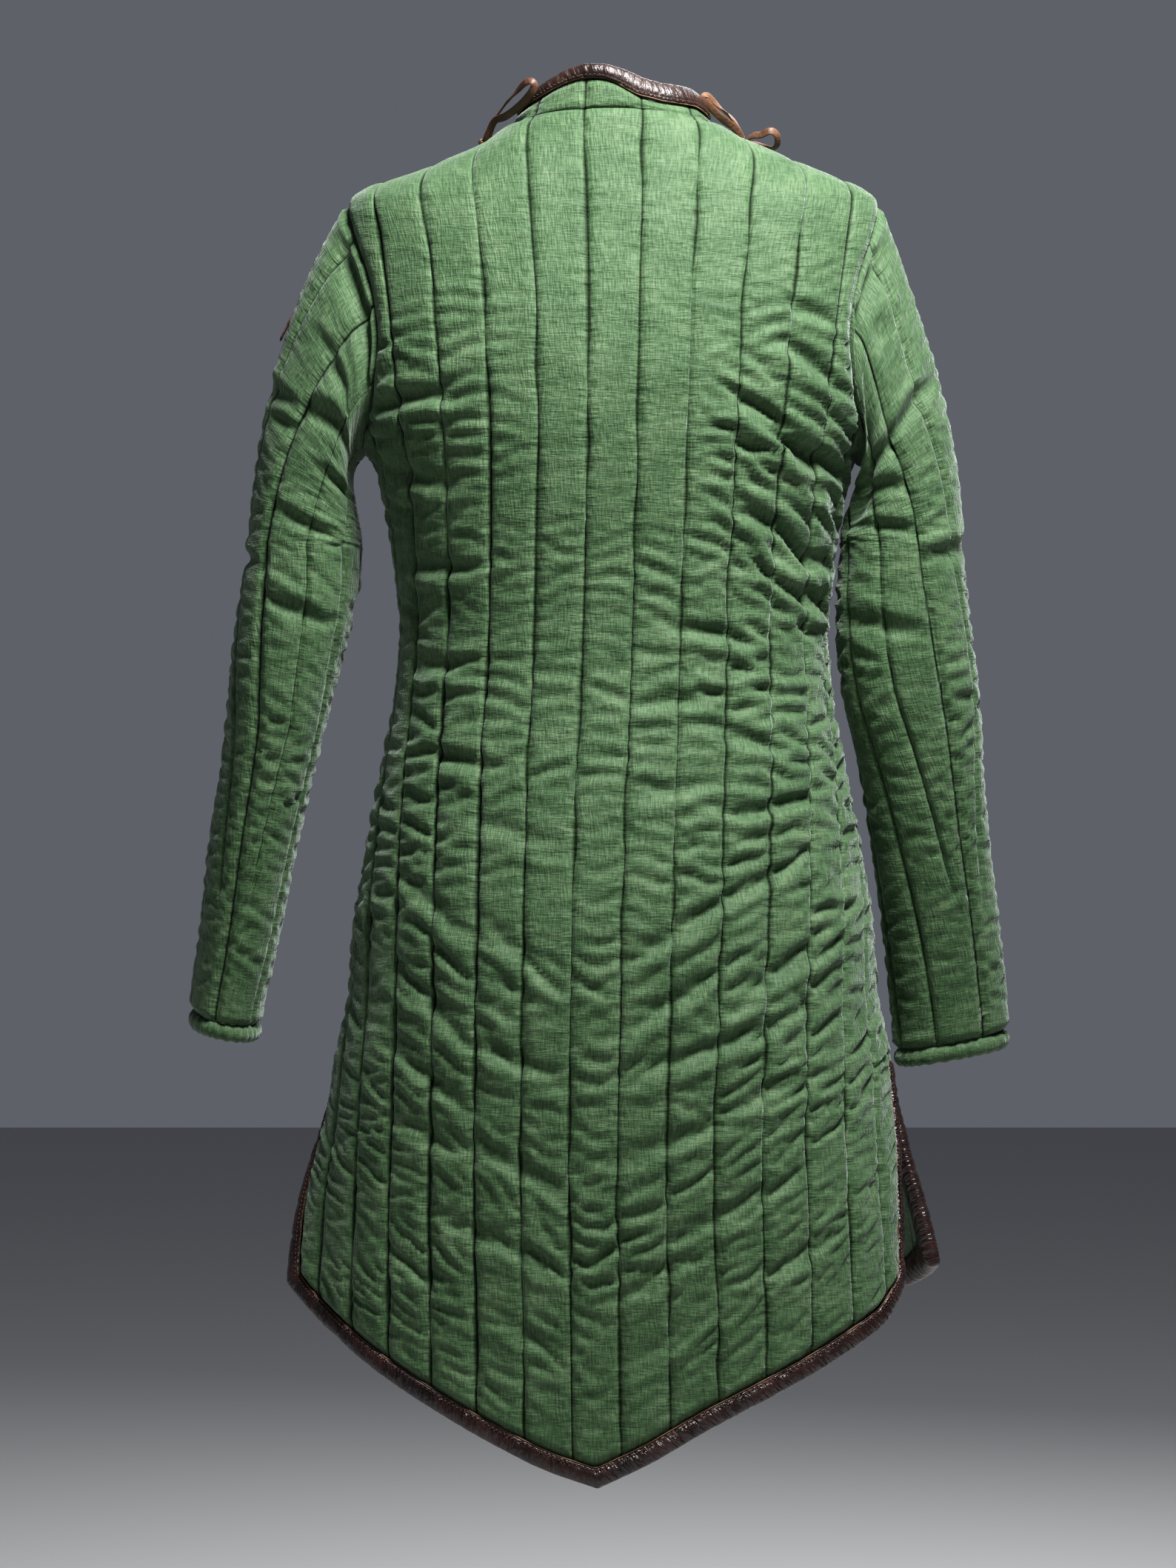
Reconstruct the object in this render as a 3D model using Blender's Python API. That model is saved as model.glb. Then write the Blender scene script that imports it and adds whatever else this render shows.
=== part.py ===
"""Quilted, leather-bound linen gambeson, standing filled out with nobody in it.

World frame: metres, +Z up, +X to the wearer's right, +Y out of the chest.  The
origin is the middle of the neck base between the shoulders.

The torso is a stack of level sections, each a super-ellipse
    |x / a|^n + |y / b|^n = 1
with its own half width a, back depth and front depth, turned a little about
the vertical lower down.  A place on it is (q, z): q counts quilting channels
along the cloth from the centre line, z is the height.  Panels are walls drawn
on that surface; stitch lines are the columns q = 0.5, 1.5, 2.5 ...
"""
import bpy
import bmesh
import numpy as np

# ---------------------------------------------------------------- main sizes
PITCH = 0.0370          # quilting channel, along the cloth
SLEEVE_PITCH = 0.0330
WALL = 0.0090           # padded wall at the crown of a channel
SINK = 0.0045           # how far a stitch line lies under the crown
SLEEVE_WALL = 0.0080
SLEEVE_SINK = 0.0040
SEAM = 0.0002           # half of the gap left along a seam
BIND = 0.0140           # leather binding, width over the edge
COLLAR_BIND = 0.0110
SLIT_TOP = -0.7150      # where the side slits start
YOKE = -0.1000          # above this the rows follow the shoulder slope
NECK_X = 0.0720         # half width of the neck
POWER = 2.25            # roundness n of the torso sections
ARMHOLE_Z, ARMHOLE_HALF_Z, ARMHOLE_HALF_Y = -0.1600, 0.0960, 0.0620

# columns: height, half width, back depth, front depth, turn in degrees
TORSO = np.array([
    (0.030, 0.030, 0.052, 0.038, 0.0),
    (0.005, 0.062, 0.060, 0.046, 0.0),
    (-0.003, 0.0735, 0.062, 0.050, 0.0),
    (-0.020, 0.119, 0.067, 0.062, 0.0),
    (-0.040, 0.163, 0.073, 0.076, 0.0),
    (-0.058, 0.198, 0.079, 0.088, 0.0),
    (-0.070, 0.210, 0.083, 0.095, 0.0),
    (-0.100, 0.2150, 0.091, 0.107, 0.0),
    (-0.150, 0.2150, 0.103, 0.121, 0.0),
    (-0.200, 0.2120, 0.111, 0.127, -0.1),
    (-0.250, 0.1960, 0.114, 0.128, -0.4),
    (-0.268, 0.1830, 0.114, 0.127, -0.6),
    (-0.302, 0.1755, 0.113, 0.124, -1.0),
    (-0.336, 0.1700, 0.111, 0.120, -1.5),
    (-0.388, 0.1640, 0.110, 0.115, -2.4),
    (-0.422, 0.1660, 0.112, 0.115, -3.0),
    (-0.456, 0.1700, 0.117, 0.117, -3.6),
    (-0.490, 0.1765, 0.124, 0.121, -4.1),
    (-0.5415, 0.187, 0.134, 0.126, -4.7),
    (-0.610, 0.1985, 0.145, 0.132, -5.0),
    (-0.678, 0.2030, 0.151, 0.137, -5.3),
    (-0.715, 0.2125, 0.153, 0.141, -5.6),
    (-0.764, 0.2205, 0.154, 0.146, -6.0),
    (-0.832, 0.2330, 0.155, 0.152, -5.9),
    (-0.900, 0.2425, 0.156, 0.157, -5.2),
    (-1.050, 0.2500, 0.158, 0.164, -4.5),
])
# columns: height, how much wider the channels fan than PITCH
FAN = np.array([
    (0.030, 1.30), (-0.010, 1.20), (-0.050, 1.13), (-0.100, 1.08), (-0.150, 1.05),
    (-0.250, 1.01), (-0.388, 0.99), (-0.490, 1.02), (-0.610, 1.01), (-0.764, 0.98), (-1.050, 0.98),
])
# columns: channel q, height of the lower edge: back to the left, back to the right, a front
HEM_BACK = np.array([
    (0.0, -1.0285, -1.0285), (1.1, -1.0160, -1.0100), (2.25, -0.9965, -0.9860), (3.35, -0.9765, -0.9665),
    (4.4, -0.9570, -0.9490), (5.4, -0.9380, -0.9310), (6.4, -0.9190, -0.9140), (7.5, -0.890, -0.885),
    (9.0, -0.845, -0.840),
])
HEM_FRONT = np.array([
    (0.0, -0.996), (1.0, -0.984), (3.0, -0.953), (5.0, -0.925), (7.0, -0.903), (8.6, -0.880), (10.0, -0.870),
])
# columns: height, width the slit stands open, back side and front side
GAPE = np.array([(-0.700, 0.0, 0.0), (-0.722, 0.0, 0.0), (-0.900, 0.056, 0.006)])
# how far the loose corners of the skirt stand out at the hem
FLARE = {("back", -1): 0.031, ("back", 1): -0.010, ("front", 1): 0.0135, ("front", -1): -0.002}


# ------------------------------------------------------------- small helpers
def smooth(x):
    """0 to 1 ramp with level ends: 3x^2 - 2x^3."""
    x = np.clip(x, 0.0, 1.0)
    return x * x * (3.0 - 2.0 * x)


def column(table, k, z, soft=0.008):
    """Column k of a table against its first column, corners rounded over `soft`."""
    order = np.argsort(table[:, 0])
    x, y = table[order, 0], table[order, k]
    z = np.asarray(z, float)
    total = 0.0
    for step, weight in ((-1.0, 0.25), (-0.5, 0.25), (0.0, 0.0), (0.5, 0.25), (1.0, 0.25)):
        total = total + weight * np.interp(z + step * soft, x, y)
    return total


def crown(q):
    """Height of the padding across a channel: 0 on a stitch line, 1 at the middle."""
    f = np.mod(q + 0.5, 1.0)
    return np.clip(1.0 - np.abs(2.0 * f - 1.0) ** 2.6, 0.0, 1.0)


# ------------------------------------------------------- the torso's surface
LEVELS = np.arange(-1.060, 0.0301, 0.0025)
ARC = np.arange(0.0, 0.3601, 0.0020)


def section_tables(face):
    """x, y of every level section at even steps of cloth length, and its quarter length."""
    depth = column(TORSO, 2 if face == "back" else 3, LEVELS)
    half = column(TORSO, 1, LEVELS)
    angle = np.linspace(0.0, np.pi / 2, 240)
    unit_x, unit_y = np.sin(angle) ** (2 / POWER), np.cos(angle) ** (2 / POWER)
    xs, ys = np.zeros((LEVELS.size, ARC.size)), np.zeros((LEVELS.size, ARC.size))
    quarter = np.zeros(LEVELS.size)
    for i in range(LEVELS.size):
        x, y = half[i] * unit_x, depth[i] * unit_y
        s = np.concatenate(([0.0], np.cumsum(np.hypot(np.diff(x), np.diff(y)))))
        quarter[i] = s[-1]
        xs[i] = np.interp(ARC, s, x)
        ys[i] = np.interp(ARC, s, y) - np.maximum(ARC - s[-1], 0.0)
    return xs, ys, quarter


TABLES = {face: section_tables(face) for face in ("back", "front")}


def lookup(table, z, s):
    """Value of a (level, arc) table between its entries."""
    i = np.clip((z - LEVELS[0]) / 0.0025, 0, LEVELS.size - 1.001)
    j = np.clip(s / 0.0020, 0, ARC.size - 1.001)
    i0, j0 = i.astype(int), j.astype(int)
    u, v = i - i0, j - j0
    return ((1 - u) * (1 - v) * table[i0, j0] + u * (1 - v) * table[i0 + 1, j0]
            + (1 - u) * v * table[i0, j0 + 1] + u * v * table[i0 + 1, j0 + 1])


def pitch_at(z):
    return PITCH * column(FAN, 1, z)


def side_arc(face, z):
    """Cloth length from the centre line to the side seam or shoulder ridge."""
    return np.interp(z, LEVELS, TABLES[face][2])


def armhole_depth(z):
    """Half depth of the armhole at height z, 0 outside it."""
    r = np.clip((z - ARMHOLE_Z) / ARMHOLE_HALF_Z, -1.0, 1.0)
    return ARMHOLE_HALF_Y * np.sqrt(1.0 - r * r) * (1.0 - 0.25 * r)


def panel_arc(face, z):
    """Cloth length from the centre line to the edge of the panel: side seam, slit or armhole."""
    z = np.asarray(z, float)
    h = armhole_depth(z)
    out = side_arc(face, z).copy()
    ys = TABLES[face][1]
    for k in np.ndindex(z.shape):
        if h[k] > 0:
            i = float(np.clip((z[k] - LEVELS[0]) / 0.0025, 0, LEVELS.size - 1.001))
            row = ys[int(i)] * (1 - i + int(i)) + ys[int(i) + 1] * (i - int(i))
            out[k] = np.interp(-h[k], -row, ARC)
    open_slit = np.interp(-z, -GAPE[:, 0], GAPE[:, 1 if face == "back" else 2])
    return np.where(z < SLIT_TOP, out - open_slit, out)


def torso_point(face, q, z):
    """Crown surface of the quilted cloth at channel q and height z."""
    q, z = np.broadcast_arrays(np.asarray(q, float), np.asarray(z, float))
    side = np.where(q < 0, -1.0, 1.0)
    s = np.abs(q) * pitch_at(z)
    xs, ys, _ = TABLES[face]
    x, y = lookup(xs, z, s), lookup(ys, z, s)
    # loose corners of the skirt stand out from the slit
    reach = side_arc(face, z)
    loose = smooth((s - reach + 0.11) / 0.11) * smooth((SLIT_TOP - 0.03 - z) / 0.17)
    out = np.where(side > 0, FLARE[(face, 1)], FLARE[(face, -1)]) * loose
    x = (x + out) * side
    y = -y if face == "back" else y
    turn = np.radians(column(TORSO, 4, z, 0.02))
    return np.stack([x * np.cos(turn) - y * np.sin(turn),
                     x * np.sin(turn) + y * np.cos(turn), z], axis=-1)


def torso_normal(face, q, z):
    """Outward unit normal of the crown surface."""
    e = 0.0035
    dq = torso_point(face, q + e / PITCH, z) - torso_point(face, q - e / PITCH, z)
    dz = torso_point(face, q, z + e) - torso_point(face, q, z - e)
    n = np.cross(dq, dz)
    if face == "front":
        n = -n
    return n / np.maximum(np.linalg.norm(n, axis=-1, keepdims=True), 1e-12)


# --------------------------------------------------------- where panels stop
def neck_height(face, x):
    """Height of the neck seam above a place x across the body."""
    r = np.clip(np.abs(x) / NECK_X, 0.0, 1.0)
    if face == "back":
        return -0.0010 - 0.0020 * r ** 2.5
    return -0.060 + 0.057 * r ** 2.6


RIDGE_Z = np.linspace(-0.0030, -0.0640, 120)


def top_height(face, q):
    """Upper edge of a panel: neck seam, then the shoulder seam along the ridge."""
    q = np.abs(np.asarray(q, float))
    ridge_q = side_arc(face, RIDGE_Z) / pitch_at(RIDGE_Z)
    shoulder = np.interp(q, ridge_q, RIDGE_Z)
    z = np.full(q.shape, -0.003)
    for _ in range(30):                     # neck height depends on x, x on the height
        x = torso_point(face, q, z)[..., 0]
        z = 0.5 * z + 0.5 * neck_height(face, x)
    return np.where(q < ridge_q[0], z, shoulder)


def hem_height(face, q, side=1):
    if face == "back":
        return np.interp(np.abs(q), HEM_BACK[:, 0], HEM_BACK[:, 2 if side > 0 else 1])
    return np.interp(np.abs(q), *HEM_FRONT.T)


# ------------------------------------------------------------ edges laid flat
def inset(path, width):
    """Chain of points `width` to the left of a flat chain, corners mitred."""
    path = np.asarray(path, float)
    step = np.diff(path, axis=0)
    step /= np.linalg.norm(step, axis=1, keepdims=True)
    left = np.stack([-step[:, 1], step[:, 0]], axis=1)
    before = np.concatenate([left[:1], left])
    after = np.concatenate([left, left[-1:]])
    mitre = before + after
    mitre /= (mitre * before).sum(1, keepdims=True)
    return path + mitre * width


def resample(path, gap):
    """Even steps of about `gap` along a flat chain."""
    path = np.asarray(path, float)
    s = np.concatenate(([0.0], np.cumsum(np.linalg.norm(np.diff(path, axis=0), axis=1))))
    at = np.linspace(0, s[-1], max(1, int(round(s[-1] / gap))) + 1)
    return np.stack([np.interp(at, s, path[:, k]) for k in (0, 1)], axis=1)


def skirt_edge(face, side=1):
    """Outer edge of a panel from the centre of the hem to the corner and up to the slit
    top, as flat (cloth length, height) points, and the number of the corner point."""
    zs = np.linspace(-0.80, SLIT_TOP - 0.0100, 6)
    slit = np.stack([panel_arc(face, zs) - 0.0003, zs], axis=1)
    q = np.linspace(0.0, 9.4, 400)
    z = hem_height(face, q, side)
    s = q * pitch_at(z)
    limit = panel_arc(face, z) - 0.0003
    k = np.flatnonzero(s > limit)[0]
    corner = np.array([limit[k], z[k]])
    hem = np.concatenate([np.stack([s, z], axis=1)[:k], corner[None]])
    hem, slit = resample(hem, 0.0165), resample(np.concatenate([corner[None], slit]), 0.020)
    return np.concatenate([hem, slit[1:]]), len(hem) - 1


def cloth_limits(face, side=1):
    """Where the cloth stops beside its binding: lower edge z(q) and slit edge s(z)."""
    chain, k = skirt_edge(face, side)
    line = inset(chain, BIND + 0.0007)
    q = line[:, 0] / pitch_at(line[:, 1])
    return q[:k + 1], line[:k + 1, 1], line[k:, 1], line[k:, 0]


LIMITS = {(face, side): cloth_limits(face, side) for face in ("back", "front") for side in (-1, 1)}


def lower_edge(face, q):
    """Height where the cloth stops above the hem binding."""
    return np.where(q < 0, np.interp(-q, *LIMITS[face, -1][:2]), np.interp(q, *LIMITS[face, 1][:2]))


# ------------------------------------------------------------- wall building
def loop_zip(faces, points, one, two):
    """Join two point chains running the same way with a band of triangles, keeping
    pace along both by their length."""
    paces = []
    for chain in (one, two):
        step = np.linalg.norm(np.diff(points[chain], axis=0), axis=1) + 1e-9
        paces.append(np.concatenate(([0.0], np.cumsum(step))) / step.sum())
    i = j = 0
    while i < len(one) - 1 or j < len(two) - 1:
        if j >= len(two) - 1 or (i < len(one) - 1 and paces[0][i + 1] <= paces[1][j + 1]):
            faces.append((one[i], one[i + 1], two[j]))
            i += 1
        else:
            faces.append((one[i], two[j + 1], two[j]))
            j += 1


def grid_faces(faces, first, rows, cols, flip=False):
    for r in range(rows - 1):
        for c in range(cols - 1):
            a, b = first + r * cols + c, first + r * cols + c + 1
            d, e = a + cols, b + cols
            if flip:
                faces += [(a, d, e), (a, e, b)]
            else:
                faces += [(a, b, e), (a, e, d)]


def make_wall(outer, inner, tube=False):
    """Closed wall from an outer grid and an inner grid of points (rows, cols, 3)."""
    ro, co, ri, ci = *outer.shape[:2], *inner.shape[:2]
    points = np.concatenate([outer.reshape(-1, 3), inner.reshape(-1, 3)])
    faces = []
    grid_faces(faces, 0, ro, co)
    grid_faces(faces, ro * co, ri, ci, flip=True)
    o = np.arange(ro * co).reshape(ro, co)
    n = np.arange(ri * ci).reshape(ri, ci) + ro * co
    edges = [(o[0], n[0]), (o[-1], n[-1])] if tube else [
        (o[0], n[0]), (o[:, -1], n[:, -1]), (o[-1][::-1], n[-1][::-1]), (o[::-1, 0], n[::-1, 0])]
    for one, two in edges:
        loop_zip(faces, points, list(map(int, one)), list(map(int, two)))
    return points, faces


def add_mesh(name, points, faces, colour, rough):
    """One closed object: repeated points merged, empty triangles dropped, faces outward."""
    mesh = bpy.data.meshes.new(name)
    mesh.from_pydata([tuple(map(float, p)) for p in points], [], [tuple(f) for f in faces])
    ready = bmesh.new()
    ready.from_mesh(mesh)
    bmesh.ops.remove_doubles(ready, verts=ready.verts, dist=0.00004)
    bmesh.ops.dissolve_degenerate(ready, edges=ready.edges, dist=0.00002)
    bmesh.ops.triangulate(ready, faces=ready.faces)
    bmesh.ops.recalc_face_normals(ready, faces=ready.faces)
    if ready.calc_volume(signed=True) < 0:
        bmesh.ops.reverse_faces(ready, faces=ready.faces)
    ready.to_mesh(mesh)
    ready.free()
    stuff = bpy.data.materials.new(name)
    stuff.use_nodes = True
    shader = stuff.node_tree.nodes["Principled BSDF"]
    shader.inputs["Base Color"].default_value = (*colour, 1.0)
    shader.inputs["Roughness"].default_value = rough
    mesh.materials.append(stuff)
    obj = bpy.data.objects.new(name, mesh)
    home.objects.link(obj)
    return obj


LINEN = (0.150, 0.330, 0.130)
LEATHER = (0.070, 0.030, 0.022)
THONG = (0.330, 0.150, 0.080)


# ----------------------------------------------------------------- the panels
def row_heights(face, q, rows_low, rows_mid, rows_high):
    """Heights z(row, q): low rows gather to the hem, middle rows are level, high rows
    gather to the shoulder and neck."""
    low_edge = lower_edge(face, q)
    top_edge = top_height(face, q) - SEAM
    low = low_edge + (SLIT_TOP - low_edge) * rows_low[:, None]
    mid = np.repeat(rows_mid[:, None], q.size, axis=1)
    high = YOKE + (top_edge - YOKE) * rows_high[:, None]
    return np.concatenate([low, mid, high])


def panel_grid(face, side, cols, rows_low, rows_mid, rows_high):
    """Clipped (q, z) grid of a panel.  side 0 is the whole back, -1 or 1 a front."""
    rows = (rows_low, rows_mid, rows_high)
    stops = {}
    for way in (-1, 1):
        dense = np.linspace(0.0, 9.6, 1400)
        zd = row_heights(face, dense * way + 1e-9 * way, *rows)
        ends = np.zeros(zd.shape[0])
        for r in range(zd.shape[0]):
            limit = panel_arc(face, zd[r]) - SEAM
            beside = np.interp(zd[r], LIMITS[face, way][2], LIMITS[face, way][3])
            limit = np.where(zd[r] < SLIT_TOP - 0.001, beside, limit) / pitch_at(zd[r])
            k = np.flatnonzero(dense >= limit)[0]
            d0, d1 = dense[k - 1] - limit[k - 1], dense[k] - limit[k]
            ends[r] = dense[k - 1] + (dense[k] - dense[k - 1]) * (-d0 / (d1 - d0))
        stops[way] = ends * way
    middle = (BIND + 0.0010) / pitch_at(zd[:, 0])
    first = stops[-1] if side <= 0 else middle
    last = stops[1] if side >= 0 else -middle
    q = np.clip(cols[None, :], first[:, None], last[:, None])
    z = np.stack([row_heights(face, q[r], *rows)[r] for r in range(q.shape[0])])
    edge = np.minimum(last[:, None] - q, q - first[:, None]) * PITCH
    edge = np.minimum(edge, top_height(face, q) - z)
    edge = np.minimum(edge, z - lower_edge(face, q))
    return q, z, edge


def panel(name, face, side):
    lines = np.arange(-8.5, 9.0, 1.0)
    cols = np.sort(np.concatenate([lines, lines[:-1] + 0.22, lines[:-1] + 0.78]))
    if side:
        cols = np.sort(np.append(cols[cols * side > 0.0], 0.0))
    low = np.array([0.0, 0.14, 0.30, 0.46, 0.62, 0.78, 0.90, 0.965])
    hole = ARMHOLE_Z + ARMHOLE_HALF_Z * np.cos(np.radians(np.arange(180, 55, -15)))
    mid = np.concatenate([[SLIT_TOP], np.linspace(-0.677, -0.287, 11), hole, [YOKE]])
    high = np.array([0.20, 0.42, 0.62, 0.79, 0.92, 1.0])
    q, z, edge = panel_grid(face, side, cols, low, mid, high)
    rise = crown(q) * smooth(edge / 0.010)
    outer = torso_point(face, q, z) - torso_normal(face, q, z) * (SINK * (1.0 - rise))[..., None]
    # plain inside
    cols_in = lines if side == 0 else np.sort(np.append(lines[lines * side > 0.0], 0.0))
    low_in = low[[0, 2, 4, 6, 7]]
    mid_in = mid[[0, 2, 4, 6, 8, 10, 11, *range(12, mid.size)]]
    high_in = high
    qi, zi, _ = panel_grid(face, side, cols_in, low_in, mid_in, high_in)
    inner = torso_point(face, qi, zi) - torso_normal(face, qi, zi) * WALL
    points, faces = make_wall(outer, inner)
    return add_mesh(name, points, faces, LINEN, 0.9)


# ----------------------------------------------------------------- the sleeves
# columns: height, middle out from the body's centre, middle forward, half across, half depth
ARM = {
    1: np.array([
        (-0.330, 0.2222, 0.000, 0.0465, 0.0450), (-0.3705, 0.2216, 0.000, 0.0510, 0.0440),
        (-0.422, 0.2257, 0.003, 0.0530, 0.0430), (-0.456, 0.2314, 0.007, 0.0519, 0.0420),
        (-0.490, 0.2368, 0.012, 0.0482, 0.0410), (-0.5586, 0.2457, 0.022, 0.0456, 0.0370),
        (-0.627, 0.2559, 0.033, 0.0455, 0.0325), (-0.695, 0.2634, 0.044, 0.0453, 0.0300),
        (-0.7105, 0.2648, 0.046, 0.0453, 0.0300)]),
    -1: np.array([
        (-0.330, 0.2360, 0.000, 0.0440, 0.0500), (-0.3705, 0.2425, 0.000, 0.0455, 0.0510),
        (-0.422, 0.2528, 0.003, 0.0415, 0.0505), (-0.456, 0.2588, 0.007, 0.0393, 0.0500),
        (-0.490, 0.2650, 0.012, 0.0362, 0.0495), (-0.5586, 0.2793, 0.022, 0.0343, 0.0480),
        (-0.627, 0.2900, 0.033, 0.0313, 0.0465), (-0.680, 0.3010, 0.042, 0.0285, 0.0455),
        (-0.6920, 0.3030, 0.044, 0.0283, 0.0455)]),
}
# columns: share of the sleeve's length, angle of the back seam round the arm in degrees
SEAM_TURN = {
    1: np.array([(0.0, 84), (0.2, 92), (0.4, 79), (0.5, 70), (0.62, 65), (0.8, 61), (1.0, 60)], float),
    -1: np.array([(0.0, 84), (0.2, 70), (0.4, 52), (0.5, 60), (0.62, 75), (0.8, 80), (1.0, 80)], float),
}
HEAD_OUT = {1: 0.34, -1: 0.56}   # how much the sleeve head stands out from the shoulder
HEAD = 0.40             # share of the sleeve from armhole to upper arm
HEAD_TURNS = np.radians(np.arange(0.0, 360.0, 2.0))


def armhole_ring(side):
    """Edge of the armhole on the torso: points, torso normals, way into the sleeve.
    Runs from the shoulder point (0) round the back to the armpit (180) and up the front."""
    turn = HEAD_TURNS
    z = ARMHOLE_Z + ARMHOLE_HALF_Z * np.cos(turn) * 0.99999
    spots, normals = np.zeros((turn.size, 3)), np.zeros((turn.size, 3))
    for face, pick in (("back", turn < np.pi), ("front", turn >= np.pi)):
        q = panel_arc(face, z[pick]) / pitch_at(z[pick]) * side
        spots[pick] = torso_point(face, q, z[pick])
        normals[pick] = torso_normal(face, q, z[pick])
    for _ in range(6):                       # even the normals across the two seams
        normals = 0.5 * normals + 0.25 * (np.roll(normals, 1, 0) + np.roll(normals, -1, 0))
    normals /= np.linalg.norm(normals, axis=1, keepdims=True)
    along = np.roll(spots, -1, 0) - np.roll(spots, 1, 0)
    away = np.cross(normals, along)
    away /= np.linalg.norm(away, axis=1, keepdims=True)
    middle = spots.mean(0)
    away *= np.sign(np.einsum("ij,ij->i", away, middle - spots))[:, None]
    return spots, normals, away


def arm_ring(side, z):
    """Oval of the sleeve where its middle is at height z."""
    table = ARM[side]
    def centre(h):
        return np.array([side * column(table, 1, h, 0.02), column(table, 2, h, 0.02), h])
    axis = centre(z - 0.01) - centre(z + 0.01)
    axis /= np.linalg.norm(axis)
    u = np.array([side, 0.0, 0.0])
    u -= axis * u.dot(axis)
    u /= np.linalg.norm(u)
    v = np.cross(axis, u)
    v *= np.sign(-v[1])                      # v points to the back
    across, deep = column(table, 3, z, 0.02), column(table, 4, z, 0.02)
    c, s = np.cos(HEAD_TURNS), np.sin(HEAD_TURNS)
    cx, sx = np.sign(c) * np.abs(c) ** 0.92, np.sign(s) * np.abs(s) ** 0.92
    return centre(z) + np.outer(cx, u) * across + np.outer(sx, v) * deep, axis


def sleeve_tables(side):
    """Rings of the sleeve at even steps of cloth length from the line opposite the seam."""
    spots, normals, away = armhole_ring(side)
    start = spots + away * 0.0007
    top = ARM[side][0, 0]
    ring, axis = arm_ring(side, top)
    reach = np.linalg.norm(ring - start, axis=1, keepdims=True)
    under = smooth((1.0 - np.cos(HEAD_TURNS)) / 2 * 1.5 - 0.5)[:, None]
    lead = np.array([side * HEAD_OUT[side], 0.0, -0.89]) * (1 - under) + np.array([side * 0.70, 0.0, -0.72]) * under
    shares = np.linspace(0.0, 1.0, 121)
    rings = []
    for w in shares:
        if w <= HEAD:
            t = w / HEAD
            h = (2 * t ** 3 - 3 * t ** 2 + 1, t ** 3 - 2 * t ** 2 + t, -2 * t ** 3 + 3 * t ** 2, t ** 3 - t ** 2)
            rings.append(start * h[0] + reach * lead * h[1] + ring * h[2] + reach * axis * h[3])
        else:
            t = (w - HEAD) / (1.0 - HEAD)
            rings.append(arm_ring(side, top + (ARM[side][-1, 0] - top) * t)[0])
    rings = np.array(rings)
    steps = np.arange(-0.30, 0.3001, 0.002)
    out, half = np.zeros((shares.size, steps.size, 3)), np.zeros(shares.size)
    for i, w in enumerate(shares):
        seam = np.interp(w, *SEAM_TURN[side].T)
        closed = np.concatenate([rings[i]] * 3 + [rings[i][:1]])
        turns = np.degrees(np.concatenate([HEAD_TURNS - 2 * np.pi, HEAD_TURNS, HEAD_TURNS + 2 * np.pi, [4 * np.pi]]))
        s = np.concatenate(([0.0], np.cumsum(np.linalg.norm(np.diff(closed, axis=0), axis=1))))
        s_seam = np.interp(seam, turns, s)
        s_next = np.interp(seam + 360.0, turns, s)
        half[i] = (s_next - s_seam) / 2
        for k in range(3):
            out[i, :, k] = np.interp((s_seam + s_next) / 2 + steps, s, closed[:, k])
    return shares, steps, out, half, normals


SLEEVES = {side: sleeve_tables(side) for side in (1, -1)}


def sleeve_pitch(side, w):
    shares, _, _, half, _ = SLEEVES[side]
    upper = np.interp(HEAD, shares, half)
    grown = np.interp(w, shares, half) / upper
    return SLEEVE_PITCH * np.where(np.asarray(w) < HEAD, np.maximum(grown, 1.0), 1.0)


def sleeve_point(side, q, w):
    """Crown surface of a sleeve at channel q and share w of its length."""
    q, w = np.broadcast_arrays(np.asarray(q, float), np.asarray(w, float))
    shares, steps, out, _, _ = SLEEVES[side]
    i = np.clip(w * (shares.size - 1), 0, shares.size - 1.0001)
    j = np.clip((q * sleeve_pitch(side, w) - steps[0]) / 0.002, 0, steps.size - 1.0001)
    i0, j0 = i.astype(int), j.astype(int)
    u, v = (i - i0)[..., None], (j - j0)[..., None]
    return ((1 - u) * (1 - v) * out[i0, j0] + u * (1 - v) * out[i0 + 1, j0]
            + (1 - u) * v * out[i0, j0 + 1] + u * v * out[i0 + 1, j0 + 1])


def sleeve_normal(side, q, w):
    """Outward unit normal; at the armhole it leans to the torso's own."""
    dq = sleeve_point(side, q + 0.12, w) - sleeve_point(side, q - 0.12, w)
    dw = sleeve_point(side, q, np.minimum(w + 0.01, 1.0)) - sleeve_point(side, q, np.maximum(w - 0.01, 0.0))
    n = np.cross(dq, dw) * side
    n /= np.maximum(np.linalg.norm(n, axis=-1, keepdims=True), 1e-12)
    q, w = np.broadcast_arrays(np.asarray(q, float), np.asarray(w, float))
    spots, normals = armhole_ring(side)[:2]
    place = sleeve_point(side, q, w * 0.0)
    near = np.argmin(((place[..., None, :] - spots) ** 2).sum(-1), axis=-1)
    k = smooth(w / 0.24)[..., None]
    n = normals[near] * (1 - k) + n * k
    return n / np.linalg.norm(n, axis=-1, keepdims=True)


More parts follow.
